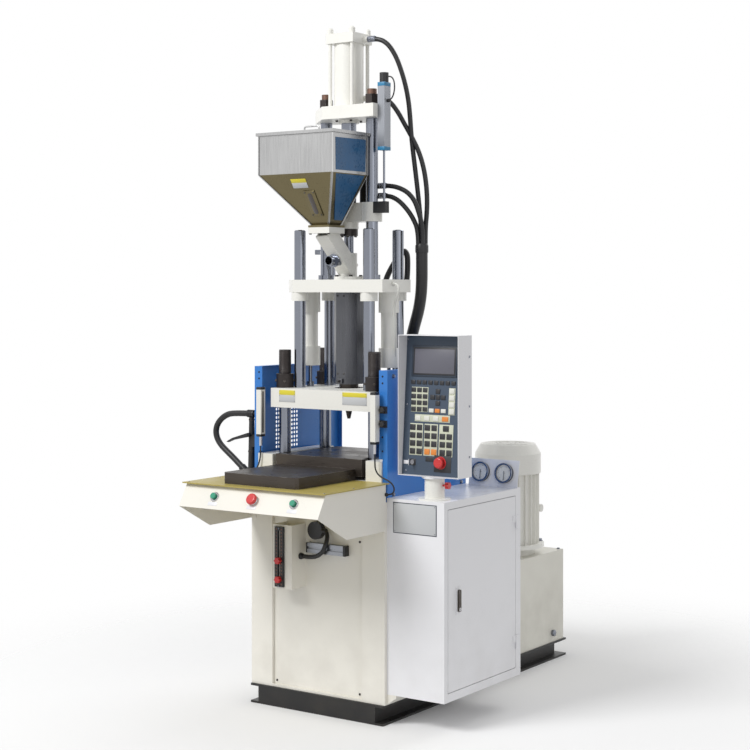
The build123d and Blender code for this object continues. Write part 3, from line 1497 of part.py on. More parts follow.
PIECES = {
    "base_frame": base_frame,
    "main_frame": main_frame,
    "front_cover": front_cover,
    "fixed_platen": fixed_platen,
    "slide_bed": slide_bed,
    "slide_table": slide_table,
    "work_table": work_table,
    "control_box": control_box,
    "start_button_left": lambda: on_plane(button_plane(button_xs[0]), push_button()),
    "front_stop": lambda: on_plane(button_plane(button_xs[1]), mushroom_button(
        button_radius, mushroom_radius, mushroom_stand, mushroom_thick, button_back, sheet)),
    "start_button_right": lambda: on_plane(button_plane(button_xs[2]), push_button()),
    "sensor_bracket": sensor_bracket,
    "sensor_rail": sensor_rail,
    "rail_knob_upper": lambda: rail_knob(rail_knob_zs[0]),
    "rail_knob_lower": lambda: rail_knob(rail_knob_zs[1]),
    "position_sensor": position_sensor,
    "left_guard": lambda: side_guard(-1),
    "right_guard": lambda: side_guard(1),
    "light_curtains": light_curtains,
    "cabinet_box": cabinet_box,
    "cabinet_door": cabinet_door,
    "door_lock": door_lock,
    "panel_pedestal": panel_pedestal,
    "pedestal_knob": pedestal_knob,
    "panel_housing": panel_housing,
    "panel_face": panel_face,
    "panel_stop": panel_stop,
    "key_switch": key_switch,
    "gauge_cases": gauge_cases,
    "gauge_needle_left": lambda: gauge_needle(gauge_xs[0]),
    "gauge_needle_right": lambda: gauge_needle(gauge_xs[1]),
    "oil_tank": oil_tank,
    "motor_body": motor_body,
    "motor_fan_cover": motor_fan_cover,
    "motor_rotor": motor_rotor,
    "lubricator": lubricator,
    "lubricator_lever": lubricator_lever,
    "lubricator_hose": lambda: hose_tube(lube_route, lube_hose_radius, "lubricator hose"),
    "moving_platen": moving_platen,
    "tie_bars": tie_bars,
    "lower_crosshead": lower_crosshead,
    "guide_posts": guide_posts,
    "seat_rods": seat_rods,
    "seat_plate": seat_plate,
    "seat_cylinders": seat_cylinders,
    "barrel": barrel,
    "barrel_shield": barrel_shield,
    "feed_chute": feed_chute,
    "chute_shutter": chute_shutter,
    "hopper": hopper,
    "hopper_lid": hopper_lid,
    "injection_rods": injection_rods,
    "top_plate": top_plate,
    "injection_cylinder": injection_cylinder,
    "injection_crosshead": injection_crosshead,
    "screw_motor": screw_motor,
    "screw": screw,
    "transducer_body": transducer_body,
    "hydraulic_hoses": hydraulic_hoses,
    "hose_sleeve": lambda: hose_tube(sleeve_route, sleeve_radius, "hose sleeve"),
}

os.makedirs("parts", exist_ok=True)
for piece_name, make in PIECES.items():
    export_step(make(), f"parts/{piece_name}.step")
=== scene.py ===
"""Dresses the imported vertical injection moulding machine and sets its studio."""
import logging
import math
from dataclasses import dataclass, field
from enum import Enum
from functools import cached_property
from typing import Any, Callable, Iterable, Optional, Sequence

import bmesh
import bpy
from mathutils import Matrix, Vector


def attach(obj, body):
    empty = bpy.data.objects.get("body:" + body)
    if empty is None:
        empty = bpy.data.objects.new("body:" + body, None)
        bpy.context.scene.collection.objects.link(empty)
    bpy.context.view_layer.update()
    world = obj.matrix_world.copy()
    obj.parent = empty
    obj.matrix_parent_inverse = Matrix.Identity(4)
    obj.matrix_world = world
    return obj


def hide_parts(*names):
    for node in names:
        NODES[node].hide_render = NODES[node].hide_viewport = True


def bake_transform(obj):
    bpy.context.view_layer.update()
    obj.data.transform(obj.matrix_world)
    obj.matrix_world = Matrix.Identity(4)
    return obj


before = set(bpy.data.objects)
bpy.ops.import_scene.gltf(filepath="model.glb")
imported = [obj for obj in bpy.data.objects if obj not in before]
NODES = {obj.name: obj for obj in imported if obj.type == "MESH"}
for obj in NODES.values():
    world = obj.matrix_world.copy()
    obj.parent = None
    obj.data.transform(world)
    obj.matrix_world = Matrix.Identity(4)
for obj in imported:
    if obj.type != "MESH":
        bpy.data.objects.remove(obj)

LOG = logging.getLogger("moulding_machine")
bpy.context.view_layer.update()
MM = 0.001
UPRIGHT = Matrix.Identity(4)
FRONT, RIGHT, UP, DOWN = (0, -1, 0), (1, 0, 0), (0, 0, 1), (0, 0, -1)
Point = tuple[float, float, float]
Color = tuple[float, float, float, float]
Spot = tuple[Sequence[float], Sequence[float]]


def mm(x: float, y: float, z: float) -> Vector:
    """A point in metres from its millimetres."""
    return Vector((x, y, z)) * MM



def srgb(red: int, green: int, blue: int) -> Color:
    """Turns an 8-bit screen colour into the linear colour that shaders use.

    Args:
        red, green, blue: Channels from 0 to 255.

    Returns:
        Linear red, green, blue and a full alpha.
    """
    def linear(value: int) -> float:
        """One channel, made linear."""
        share = value / 255
        return share / 12.92 if share <= 0.04045 else ((share + 0.055) / 1.055) ** 2.4
    return (linear(red), linear(green), linear(blue), 1.0)


class Grain(Enum):
    """How a surface's fine texture runs."""
    SPRAYED = "sprayed"
    BRUSHED_UP = "brushed_up"
    BRUSHED_ROUND = "brushed_round"
    MACHINED = "machined"
    MOULDED = "moulded"


GRAIN_STRETCH: dict[Grain, Point] = {
    Grain.SPRAYED: (1.0, 1.0, 1.0),
    Grain.BRUSHED_UP: (1.0, 1.0, 0.03),
    Grain.BRUSHED_ROUND: (0.05, 0.05, 1.0),
    Grain.MACHINED: (0.06, 1.0, 1.0),
    Grain.MOULDED: (1.0, 1.0, 1.0),
}


def feed(node: bpy.types.Node, sources: dict[Any, Any]) -> None:
    """Links or sets the inputs of a node.

    Args:
        node: The node.
        sources: For each input, by label or number, the socket that it is linked from or its plain value.
    """
    for key, source in sources.items():
        if isinstance(source, bpy.types.NodeSocket):
            node.id_data.links.new(source, node.inputs[key])
        else:
            node.inputs[key].default_value = source


def wired(tree: bpy.types.NodeTree, kind: str, sources: dict[Any, Any], **settings: Any) -> bpy.types.Node:
    """Adds a node to a tree.

    Args:
        tree: The tree.
        kind: The node's type.
        sources: What its inputs are fed from.
        settings: Properties of the node itself, such as its operation.

    Returns:
        The new node.
    """
    node = tree.nodes.new(kind)
    for label, value in settings.items():
        setattr(node, label, value)
    feed(node, sources)
    return node


class ShaderGroups:
    """Shader node groups that several finishes share, each built on first use."""
    kinds = {"Color": "NodeSocketColor", "Stretch": "NodeSocketVector"}

    def _group(self, name: str, inputs: dict[str, Any], outputs: Sequence[str]) -> tuple:
        """Makes a group with named sockets.

        Args:
            name: The group's name.
            inputs: Default of each input, by label.
            outputs: Label of each output.

        Returns:
            The group, and the sockets that its inputs come in by.
        """
        tree = bpy.data.node_groups.new(name, "ShaderNodeTree")
        for label, default in inputs.items():
            kind = self.kinds.get(label, "NodeSocketFloat")
            tree.interface.new_socket(label, in_out="INPUT", socket_type=kind).default_value = default
        for label in outputs:
            kind = self.kinds.get(label, "NodeSocketFloat")
            tree.interface.new_socket(label, in_out="OUTPUT", socket_type=kind)
        return tree, tree.nodes.new("NodeGroupInput").outputs

    @staticmethod
    def _patchy(tree: bpy.types.NodeTree, mask: bpy.types.NodeSocket, amount: bpy.types.NodeSocket,
                noise: tuple[float, float], limits: tuple[float, float]) -> None:
        """Breaks a mask up by noise and puts it out as the group's Mask.

        Args:
            tree: The group.
            mask: The mask so far.
            amount: How strong the mask is.
            noise: Scale and detail of the noise.
            limits: Noise values at which the mask is gone and whole.
        """
        place = wired(tree, "ShaderNodeTexCoord", {})
        patches = wired(tree, "ShaderNodeTexNoise", {
            "Vector": place.outputs["Object"], "Scale": noise[0], "Detail": noise[1]})
        broken = wired(tree, "ShaderNodeMapRange", {
            "Value": patches.outputs["Fac"], "From Min": limits[0], "From Max": limits[1]})
        both = wired(tree, "ShaderNodeMath", {0: mask, 1: broken.outputs["Result"]}, operation="MULTIPLY")
        scaled = wired(tree, "ShaderNodeMath", {0: both.outputs[0], 1: amount}, operation="MULTIPLY")
        wired(tree, "NodeGroupOutput", {"Mask": scaled.outputs[0]})

    @cached_property
    def grain(self) -> bpy.types.NodeTree:
        """Tone and fine height of a surface: large soft blotches and a stretched fine grain."""
        tree, given = self._group("SurfaceGrain", {
            "Color": (0.8, 0.8, 0.8, 1), "Blotch Scale": 3.0, "Grain Scale": 400.0, "Stretch": (1, 1, 1),
            "Variation": 0.1}, ("Color", "Tone", "Height"))
        place = wired(tree, "ShaderNodeTexCoord", {}).outputs["Object"]
        stretch = wired(tree, "ShaderNodeVectorMath", {0: place, 1: given["Stretch"]}, operation="MULTIPLY")
        blotch = wired(tree, "ShaderNodeTexNoise", {
            "Vector": place, "Scale": given["Blotch Scale"], "Detail": 4})
        fine = wired(tree, "ShaderNodeTexNoise", {
            "Vector": stretch.outputs[0], "Scale": given["Grain Scale"], "Detail": 3})
        both = wired(tree, "ShaderNodeMath", {0: blotch.outputs["Fac"], 1: fine.outputs["Fac"]},
                     operation="ADD")
        centred = wired(tree, "ShaderNodeMath", {0: both.outputs[0], 1: 1.0}, operation="SUBTRACT")
        scaled = wired(tree, "ShaderNodeMath", {0: centred.outputs[0], 1: given["Variation"], 2: 1.0},
                       operation="MULTIPLY_ADD")
        shade = wired(tree, "ShaderNodeVectorMath", {0: given["Color"], "Scale": scaled.outputs[0]},
                      operation="SCALE")
        wired(tree, "NodeGroupOutput", {
            "Color": shade.outputs[0], "Tone": both.outputs[0], "Height": fine.outputs["Fac"]})
        return tree

    @cached_property
    def wear(self) -> bpy.types.NodeTree:
        """Rubbed edges, found where a rounded normal leaves the true one, broken up by noise."""
        tree, given = self._group("EdgeWear", {"Width": 0.003, "Amount": 0.5}, ("Mask",))
        true = wired(tree, "ShaderNodeNewGeometry", {})
        rounded = wired(tree, "ShaderNodeBevel", {"Radius": given["Width"]}, samples=4)
        dot = wired(tree, "ShaderNodeVectorMath", {0: true.outputs["Normal"], 1: rounded.outputs["Normal"]},
                    operation="DOT_PRODUCT")
        edge = wired(tree, "ShaderNodeMapRange", {
            "Value": dot.outputs["Value"], "From Min": 0.98, "From Max": 0.8})
        self._patchy(tree, edge.outputs["Result"], given["Amount"], (35.0, 5.0), (0.42, 0.62))
        return tree

    @cached_property
    def soiling(self) -> bpy.types.NodeTree:
        """Dust and scuffs that gather towards the floor."""
        tree, given = self._group("FloorSoiling", {"Reach": 0.5, "Amount": 0.3}, ("Mask",))
        place = wired(tree, "ShaderNodeTexCoord", {})
        split = wired(tree, "ShaderNodeSeparateXYZ", {0: place.outputs["Object"]})
        low = wired(tree, "ShaderNodeMapRange", {"Value": split.outputs["Z"], "From Min": 0.0,
                                                 "From Max": given["Reach"], "To Min": 1.0, "To Max": 0.0})
        self._patchy(tree, low.outputs["Result"], given["Amount"], (9.0, 7.0), (0.4, 0.75))
        return tree


GROUPS = ShaderGroups()
DUST = srgb(120, 108, 90)
TONE_LOW, TONE_HIGH = 0.6, 1.4


@dataclass(frozen=True)
class Finish:
    """One surface finish, from which its material is built once."""
    name: str
    color: Color
    roughness: float
    slot: str
    metallic: float = 0.0
    grain: Grain = Grain.SPRAYED
    grain_scale: float = 500.0
    blotch_scale: float = 4.0
    variation: float = 0.06
    bump: float = 0.04
    rough_swing: float = 0.12
    wear: float = 0.0
    wear_color: Color = (0.42, 0.41, 0.4, 1.0)
    soiling: float = 0.0
    coat: float = 0.0
    alpha: float = 1.0

    def material(self) -> bpy.types.Material:
        """The finish's material, built on first use.

        Returns:
            The material, shared by every piece in this finish.
        """
        made = bpy.data.materials.get(self.name)
        if made:
            return made
        made = bpy.data.materials.new(self.name)
        made.use_nodes = True
        tree = made.node_tree
        grain = wired(tree, "ShaderNodeGroup", {
            "Color": self.color, "Blotch Scale": self.blotch_scale, "Grain Scale": self.grain_scale,
            "Stretch": GRAIN_STRETCH[self.grain], "Variation": self.variation}, node_tree=GROUPS.grain)
        tint = grain.outputs["Color"]
        if self.soiling:
            tint = self._overlay(tree, tint, GROUPS.soiling, self.soiling, DUST)
        if self.wear:
            tint = self._overlay(tree, tint, GROUPS.wear, self.wear, self.wear_color)
        rough = wired(tree, "ShaderNodeMapRange", {
            "Value": grain.outputs["Tone"], "From Min": TONE_LOW, "From Max": TONE_HIGH,
            "To Min": max(0.02, self.roughness - self.rough_swing),
            "To Max": min(1.0, self.roughness + self.rough_swing)})
        bump = wired(tree, "ShaderNodeBump", {
            "Height": grain.outputs["Height"], "Strength": self.bump, "Distance": MM})
        feed(tree.nodes["Principled BSDF"], {
            "Base Color": tint, "Roughness": rough.outputs["Result"], "Normal": bump.outputs["Normal"],
            "Metallic": self.metallic, "Coat Weight": self.coat, "Alpha": self.alpha})
        return made

    @staticmethod
    def _overlay(tree: bpy.types.NodeTree, under: bpy.types.NodeSocket, group: bpy.types.NodeTree,
                 amount: float, color: Color) -> bpy.types.NodeSocket:
        """Lays a colour over another by a group's mask.

        Args:
            tree: The material's nodes.
            under: The colour so far.
            group: A group with an Amount input and a Mask output.
            amount: How strong the mask is.
            color: The colour laid over.

        Returns:
            The mixed colour's socket.
        """
        mask = wired(tree, "ShaderNodeGroup", {"Amount": amount}, node_tree=group)
        mix = wired(tree, "ShaderNodeMix", {0: mask.outputs["Mask"], 6: under, 7: color}, data_type="RGBA")
        return mix.outputs[2]


CREAM = Finish("CreamPaint", srgb(236, 233, 224), 0.36, "cream_paint", soiling=0.2, wear=0.12, variation=0.05)
CAST_WHITE = Finish("CastWhitePaint", srgb(236, 235, 229), 0.34, "white_paint", bump=0.09, grain_scale=220.0,
                    wear=0.25, variation=0.06)
CABINET_WHITE = Finish("CabinetWhitePaint", srgb(236, 236, 239), 0.33, "cream_paint", soiling=0.12, wear=0.08,
                       variation=0.035)
GUARD_BLUE = Finish("GuardBluePaint", srgb(52, 124, 204), 0.34, "blue_paint", wear=0.12, variation=0.08)
BASE_BLACK = Finish("BaseBlackPaint", srgb(20, 20, 21), 0.42, "black_paint", wear=0.25, soiling=0.08,
                    variation=0.2)
OLIVE = Finish("TableOlivePaint", srgb(176, 160, 86), 0.4, "olive_paint", wear=0.1, variation=0.12,
               blotch_scale=6.0)
DARK_STEEL = Finish("OiledDarkSteel", srgb(76, 70, 65), 0.38, "dark_steel", metallic=0.75,
                    grain=Grain.MACHINED, grain_scale=260.0, variation=0.5, wear=0.7, blotch_scale=9.0,
                    rough_swing=0.2)
BLACK_OXIDE = Finish("BlackOxideSteel", srgb(52, 47, 46), 0.42, "dark_steel", metallic=0.6, variation=0.35,
                     wear=0.5, grain_scale=300.0)
ROD_END = Finish("RawRodEnd", srgb(112, 86, 74), 0.45, "ground_steel", metallic=0.7, variation=0.3,
                 grain=Grain.BRUSHED_ROUND, grain_scale=300.0)
GROUND_STEEL = Finish("GroundSteel", (0.235, 0.25, 0.29, 1), 0.2, "ground_steel", metallic=1.0,
                      grain=Grain.BRUSHED_ROUND, grain_scale=900.0, variation=0.1, bump=0.02,
                      rough_swing=0.08)
# Painted shade: the shield's steel is darkened to the tone it shows in the shade under the seat plate.
SHIELD_SHADED_STEEL = Finish("ShieldSteelPaintedShade", srgb(92, 93, 97), 0.3, "stainless", metallic=0.85,
                      grain=Grain.BRUSHED_UP, grain_scale=320.0, variation=0.3, rough_swing=0.1)
STAINLESS = Finish("BrushedStainless", (0.44, 0.44, 0.44, 1), 0.3, "stainless", metallic=1.0,
                   grain=Grain.BRUSHED_UP, grain_scale=380.0, variation=0.03, blotch_scale=3.0, bump=0.01)
# Painted shade: a darker, warm-tinted copy of the hopper's stainless for its downward-facing lower slopes and the
# window frame on them.
HOPPER_LOWER_SHADED = Finish("StainlessLowerPaintedShade", srgb(112, 103, 76), 0.34, "stainless", metallic=0.9,
                     grain=Grain.BRUSHED_UP, grain_scale=300.0, variation=0.3, blotch_scale=6.0, bump=0.05)
ALUMINIUM = Finish("AnodisedAluminium", srgb(146, 149, 155), 0.34, "aluminium", metallic=0.9,
                   grain=Grain.BRUSHED_UP, grain_scale=500.0, variation=0.08)
SLATE = Finish("SlatePanelPaint", srgb(62, 76, 94), 0.45, "slate_paint", variation=0.06)
SLATE_DARK = Finish("SlateBezelPaint", srgb(46, 56, 70), 0.42, "slate_paint", variation=0.06)
KEY_FIELD = Finish("KeyFieldFilm", srgb(206, 209, 188), 0.5, "slate_paint", variation=0.05)
KEY_BLACK = Finish("KeyBlackPlastic", srgb(42, 42, 46), 0.38, "black_plastic", variation=0.1)
KEY_LIGHT = Finish("KeyLightPlastic", srgb(226, 226, 218), 0.38, "black_plastic", variation=0.05)
KEY_ORANGE = Finish("KeyOrangePlastic", srgb(226, 138, 62), 0.38, "black_plastic", variation=0.06)
SCREEN_GREY = Finish("ScreenGlass", srgb(100, 100, 110), 0.34, "slate_paint", variation=0.05, bump=0.0)
RED = Finish("RedPlastic", srgb(204, 46, 48), 0.28, "red_plastic", variation=0.06, coat=0.2)
GREEN = Finish("GreenPlastic", srgb(44, 150, 118), 0.26, "green_plastic", variation=0.06, coat=0.2)
BLACK_PLASTIC = Finish("BlackPlastic", srgb(21, 21, 23), 0.42, "black_plastic", grain=Grain.MOULDED,
                       grain_scale=700.0, bump=0.08, variation=0.12)
RUBBER = Finish("HoseRubber", srgb(15, 15, 18), 0.42, "hose_rubber", grain=Grain.MOULDED, grain_scale=900.0,
                bump=0.1, variation=0.15)
CHROME = Finish("ChromeBezel", (0.5, 0.5, 0.52, 1), 0.14, "gauge_case", metallic=1.0, variation=0.04,
                bump=0.0, rough_swing=0.04)
GAUGE_BLUE = Finish("GaugeDarkBlue", srgb(34, 42, 62), 0.3, "gauge_case", metallic=0.4, variation=0.08)
DIAL_WHITE = Finish("DialWhite", srgb(240, 240, 236), 0.5, "gauge_case", variation=0.03)
FILM_BLUE = Finish("ProtectiveFilmBlue", srgb(22, 84, 130), 0.3, "blue_paint", variation=0.45,
                   blotch_scale=14.0, bump=0.25, grain_scale=90.0)
CAP_BLUE = Finish("CapBluePlastic", srgb(48, 126, 168), 0.36, "blue_paint", variation=0.06)
PLATE_YELLOW = Finish("PlainYellowPlate", srgb(222, 208, 60), 0.4, "aluminium", variation=0.05)
PLATE_GREY = Finish("PlainGreyPlate", srgb(196, 198, 200), 0.36, "aluminium", variation=0.06)
PLATE_WHITE = Finish("PlainWhitePlate", srgb(232, 232, 236), 0.36, "aluminium", variation=0.04)
WINDOW = Finish("SightWindow", srgb(58, 48, 44), 0.1, "black_plastic", variation=0.2, coat=0.5)
GLASS = Finish("GaugeGlass", (0.95, 0.96, 0.96, 1), 0.08, "gauge_case", variation=0.0, bump=0.0, alpha=0.1,
               rough_swing=0.02)
TANK_PAINT = Finish("TankPaint", srgb(226, 224, 214), 0.4, "tank_paint", soiling=0.3, wear=0.12)
CABLE_WHITE = Finish("CableWhite", srgb(214, 214, 208), 0.45, "black_plastic", variation=0.06)
DARK_GAP = Finish("DarkRecess", srgb(22, 22, 24), 0.7, "black_plastic", variation=0.1)


NODE_FINISHES: dict[Finish, tuple[str, ...]] = {
    BASE_BLACK: ("base_frame",),
    CREAM: ("main_frame", "front_cover", "control_box", "sensor_bracket"),
    CAST_WHITE: ("fixed_platen", "moving_platen", "lower_crosshead", "seat_plate", "seat_cylinders",
                 "feed_chute", "top_plate", "injection_cylinder", "injection_crosshead", "motor_body",
                 "motor_fan_cover", "panel_pedestal", "light_curtains"),
    CABINET_WHITE: ("cabinet_box", "cabinet_door", "panel_housing"),
    GUARD_BLUE: ("left_guard", "right_guard"),
    OLIVE: ("work_table",),
    DARK_STEEL: ("slide_bed", "slide_table", "barrel", "door_lock"),
    GROUND_STEEL: ("tie_bars", "guide_posts", "seat_rods", "injection_rods", "screw", "motor_rotor",
                   "chute_shutter"),
    # The barrel shield takes the darkened steel, a painted shade.
    SHIELD_SHADED_STEEL: ("barrel_shield",),
    STAINLESS: ("hopper", "hopper_lid"),
    ALUMINIUM: ("position_sensor", "transducer_body"),
    SLATE: ("panel_face",),
    RED: ("panel_stop", "front_stop", "pedestal_knob", "rail_knob_upper", "rail_knob_lower"),
    GREEN: ("start_button_left", "start_button_right"),
    BLACK_PLASTIC: ("sensor_rail", "lubricator", "lubricator_lever", "screw_motor", "gauge_needle_left",
                    "gauge_needle_right"),
    CHROME: ("key_switch",),
    GAUGE_BLUE: ("gauge_cases",),
    TANK_PAINT: ("oil_tank",),
    RUBBER: ("hydraulic_hoses", "hose_sleeve", "lubricator_hose"),
}


def dress_nodes() -> None:
    """Gives every CAD node its finish."""
    for finish, names in NODE_FINISHES.items():
        for name in names:
            node = NODES[name]
            node.data.materials.clear()
            node.data.materials.append(finish.material())
            LOG.info("dressed node %s in %s", name, finish.name)


def settle(made: bpy.types.Object, finish: Finish, body: Optional[str],
           nodes: Iterable[str] = ()) -> bpy.types.Object:
    """Finishes a piece: material, replaced nodes and the body it rides on.

    Args:
        made: The piece, with its place in its mesh.
        finish: Its finish.
        body: The CAD body it rides on, or None where it rides on none.
        nodes: CAD nodes that it stands for.

    Returns:
        The same piece.
    """
    made.data.materials.clear()
    made.data.materials.append(finish.material())
    if nodes:
        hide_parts(*nodes)
    if body:
        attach(made, body)
    LOG.info("piece %s on %s", made.name, body)
    return made


def mesh_object(name: str, shape: bmesh.types.BMesh) -> bpy.types.Object:
    """Turns a bmesh into a linked object at the origin.

    Args:
        name: The object's name.
        shape: The mesh, freed here.

    Returns:
        The new object.
    """
    bmesh.ops.remove_doubles(shape, verts=shape.verts, dist=1e-6)
    bmesh.ops.recalc_face_normals(shape, faces=shape.faces)
    mesh = bpy.data.meshes.new(name)
    shape.to_mesh(mesh)
    shape.free()
    made = bpy.data.objects.new(name, mesh)
    bpy.context.scene.collection.objects.link(made)
    return made


def smooth_by_angle(made: bpy.types.Object, degrees: float = 35.0) -> bpy.types.Object:
    """Shades a mesh smooth, but keeps edges sharper than the given angle."""
    made.data.shade_smooth()
    made.data.set_sharp_from_angle(angle=math.radians(degrees))
    return made


def frame_at(origin: Sequence[float], normal: Sequence[float], across: Sequence[float] = RIGHT) -> Matrix:
    """A frame whose Z is the normal and whose X lies nearest to a given direction.

    Args:
        origin: Where the frame stands.
        normal: Its Z direction.
        across: The direction that X leans to.

    Returns:
        The frame as a matrix.
    """
    up = Vector(normal).normalized()
    side = Vector(across)
    side = (side - up * side.dot(up)).normalized()
    other = up.cross(side)
    matrix = Matrix((side, other, up)).transposed().to_4x4()
    matrix.translation = Vector(origin)
    return matrix


def block(name: str, low: Sequence[float], high: Sequence[float], bevel: float = 0.0008,
          at: Optional[Matrix] = None) -> bpy.types.Object:
    """A block with softened edges.

    Args:
        name: The piece's name.
        low, high: Opposite corners, in metres, in the frame given by at.
        bevel: Width of the softened edges.
        at: The frame, or None for the row's own.

    Returns:
        The block as an object.
    """
    shape = bmesh.new()
    bmesh.ops.create_cube(shape, size=1.0)
    size = Vector(high) - Vector(low)
    middle = (Vector(high) + Vector(low)) / 2
    bmesh.ops.transform(shape, matrix=Matrix.Translation(middle) @ Matrix.Diagonal(size).to_4x4(),
                        verts=shape.verts)
    width = min(bevel, min(size) * 0.45)
    bmesh.ops.bevel(shape, geom=shape.edges[:], offset=width, segments=2, profile=0.5, affect="EDGES")
    if at:
        bmesh.ops.transform(shape, matrix=at, verts=shape.verts)
    return smooth_by_angle(mesh_object(name, shape), 50)


def fitted(name: str, low: Sequence[float], high: Sequence[float], bevel: float, finish: Finish, body: str,
           at: Optional[Matrix] = None) -> None:
    """Makes a block and settles it.

    Args:
        name: The piece's name.
        low, high: Opposite corners, in millimetres, in the frame given by at.
        bevel: Width of the softened edges, in millimetres.
        finish: Its finish.
        body: The CAD body that carries it.
        at: The frame, or None for the row's own.
    """
    settle(block(name, mm(*low), mm(*high), bevel * MM, at), finish, body)


def lathe(name: str, profile: Sequence[tuple[float, float]], at: Matrix, steps: int = 40) -> bpy.types.Object:
    """A closed round piece from a profile of radius and height.

    Args:
        name: The piece's name.
        profile: Radius and height pairs; a closed loop where it does not start and end on the axis.
        at: Frame whose Z is the axis.
        steps: Number of faces round the axis.

    Returns:
        The piece as an object.
    """
    shape = bmesh.new()
    closed = profile[0][0] > 0 or profile[-1][0] > 0
    rings = []
    for radius, height in profile:
        if radius <= 0:
            rings.append([shape.verts.new((0, 0, height))])
            continue
        rings.append([shape.verts.new((radius * math.cos(i * math.tau / steps),
                                       radius * math.sin(i * math.tau / steps), height))
                      for i in range(steps)])
    pairs = list(zip(rings, rings[1:]))
    if closed:
        pairs.append((rings[-1], rings[0]))
    for first, second in pairs:
        for i in range(steps):
            j = (i + 1) % steps
            loop = [first[i % len(first)], first[j % len(first)], second[j % len(second)],
                    second[i % len(second)]]
            corners = list(dict.fromkeys(loop))
            if len(corners) > 2:
                shape.faces.new(corners)
    bmesh.ops.transform(shape, matrix=at, verts=shape.verts)
    return smooth_by_angle(mesh_object(name, shape))


def sleeve_round(name: str, inner: float, outer: float, low: float, high: float, at: Matrix,
                 bevel: float = 0.0008, steps: int = 40) -> bpy.types.Object:
    """A ring with softened edges, between two radii and two heights."""
    soft = min(bevel, (outer - inner) * 0.4, (high - low) * 0.4)
    profile = [(inner, low), (outer - soft, low), (outer, low + soft), (outer, high - soft),
               (outer - soft, high), (inner, high)]
    return lathe(name, profile, at, steps)


def disc(name: str, radius: float, low: float, high: float, at: Matrix, bevel: float = 0.0008,
         steps: int = 40) -> bpy.types.Object:
    """A solid round piece with a softened top edge."""
    soft = min(bevel, radius * 0.4, (high - low) * 0.4)
    return lathe(name, [(0, low), (radius, low), (radius, high - soft), (radius - soft, high), (0, high)],
                 at, steps)


def prism(name: str, outline: Sequence[tuple[float, float]], low: float, high: float, at: Matrix,
          bevel: float = 0.0008) -> bpy.types.Object:
    """A prism of any outline, with softened edges.

    Args:
        name: The piece's name.
        outline: Corner points in the frame's X and Y.
        low, high: Heights along the frame's Z.
        at: The frame.
        bevel: Width of the softened edges.

    Returns:
        The prism as an object.
    """
    shape = bmesh.new()
    under = shape.faces.new([shape.verts.new((x, y, low)) for x, y in outline])
    grown = bmesh.ops.extrude_face_region(shape, geom=[under])
    top = [v for v in grown["geom"] if isinstance(v, bmesh.types.BMVert)]
    bmesh.ops.translate(shape, vec=(0, 0, high - low), verts=top)
    bmesh.ops.recalc_face_normals(shape, faces=shape.faces)
    if bevel:
        bmesh.ops.bevel(shape, geom=shape.edges[:], offset=min(bevel, (high - low) * 0.4), segments=2,
                        profile=0.5, affect="EDGES")
    bmesh.ops.transform(shape, matrix=at, verts=shape.verts)
    return smooth_by_angle(mesh_object(name, shape), 50)


def joined(name: str, parts: Sequence[bpy.types.Object]) -> bpy.types.Object:
    """Joins loose parts of one finish into one piece.

    Args:
        name: The joined piece's name.
        parts: Objects at the origin, removed here.

    Returns:
        The joined object.
    """
    mesh = bpy.data.meshes.new(name)
    shape = bmesh.new()
    for part in parts:
        shape.from_mesh(part.data)
    shape.to_mesh(mesh)
    shape.free()
    for part in parts:
        bpy.data.objects.remove(part)
    made = bpy.data.objects.new(name, mesh)
    bpy.context.scene.collection.objects.link(made)
    return smooth_by_angle(made)


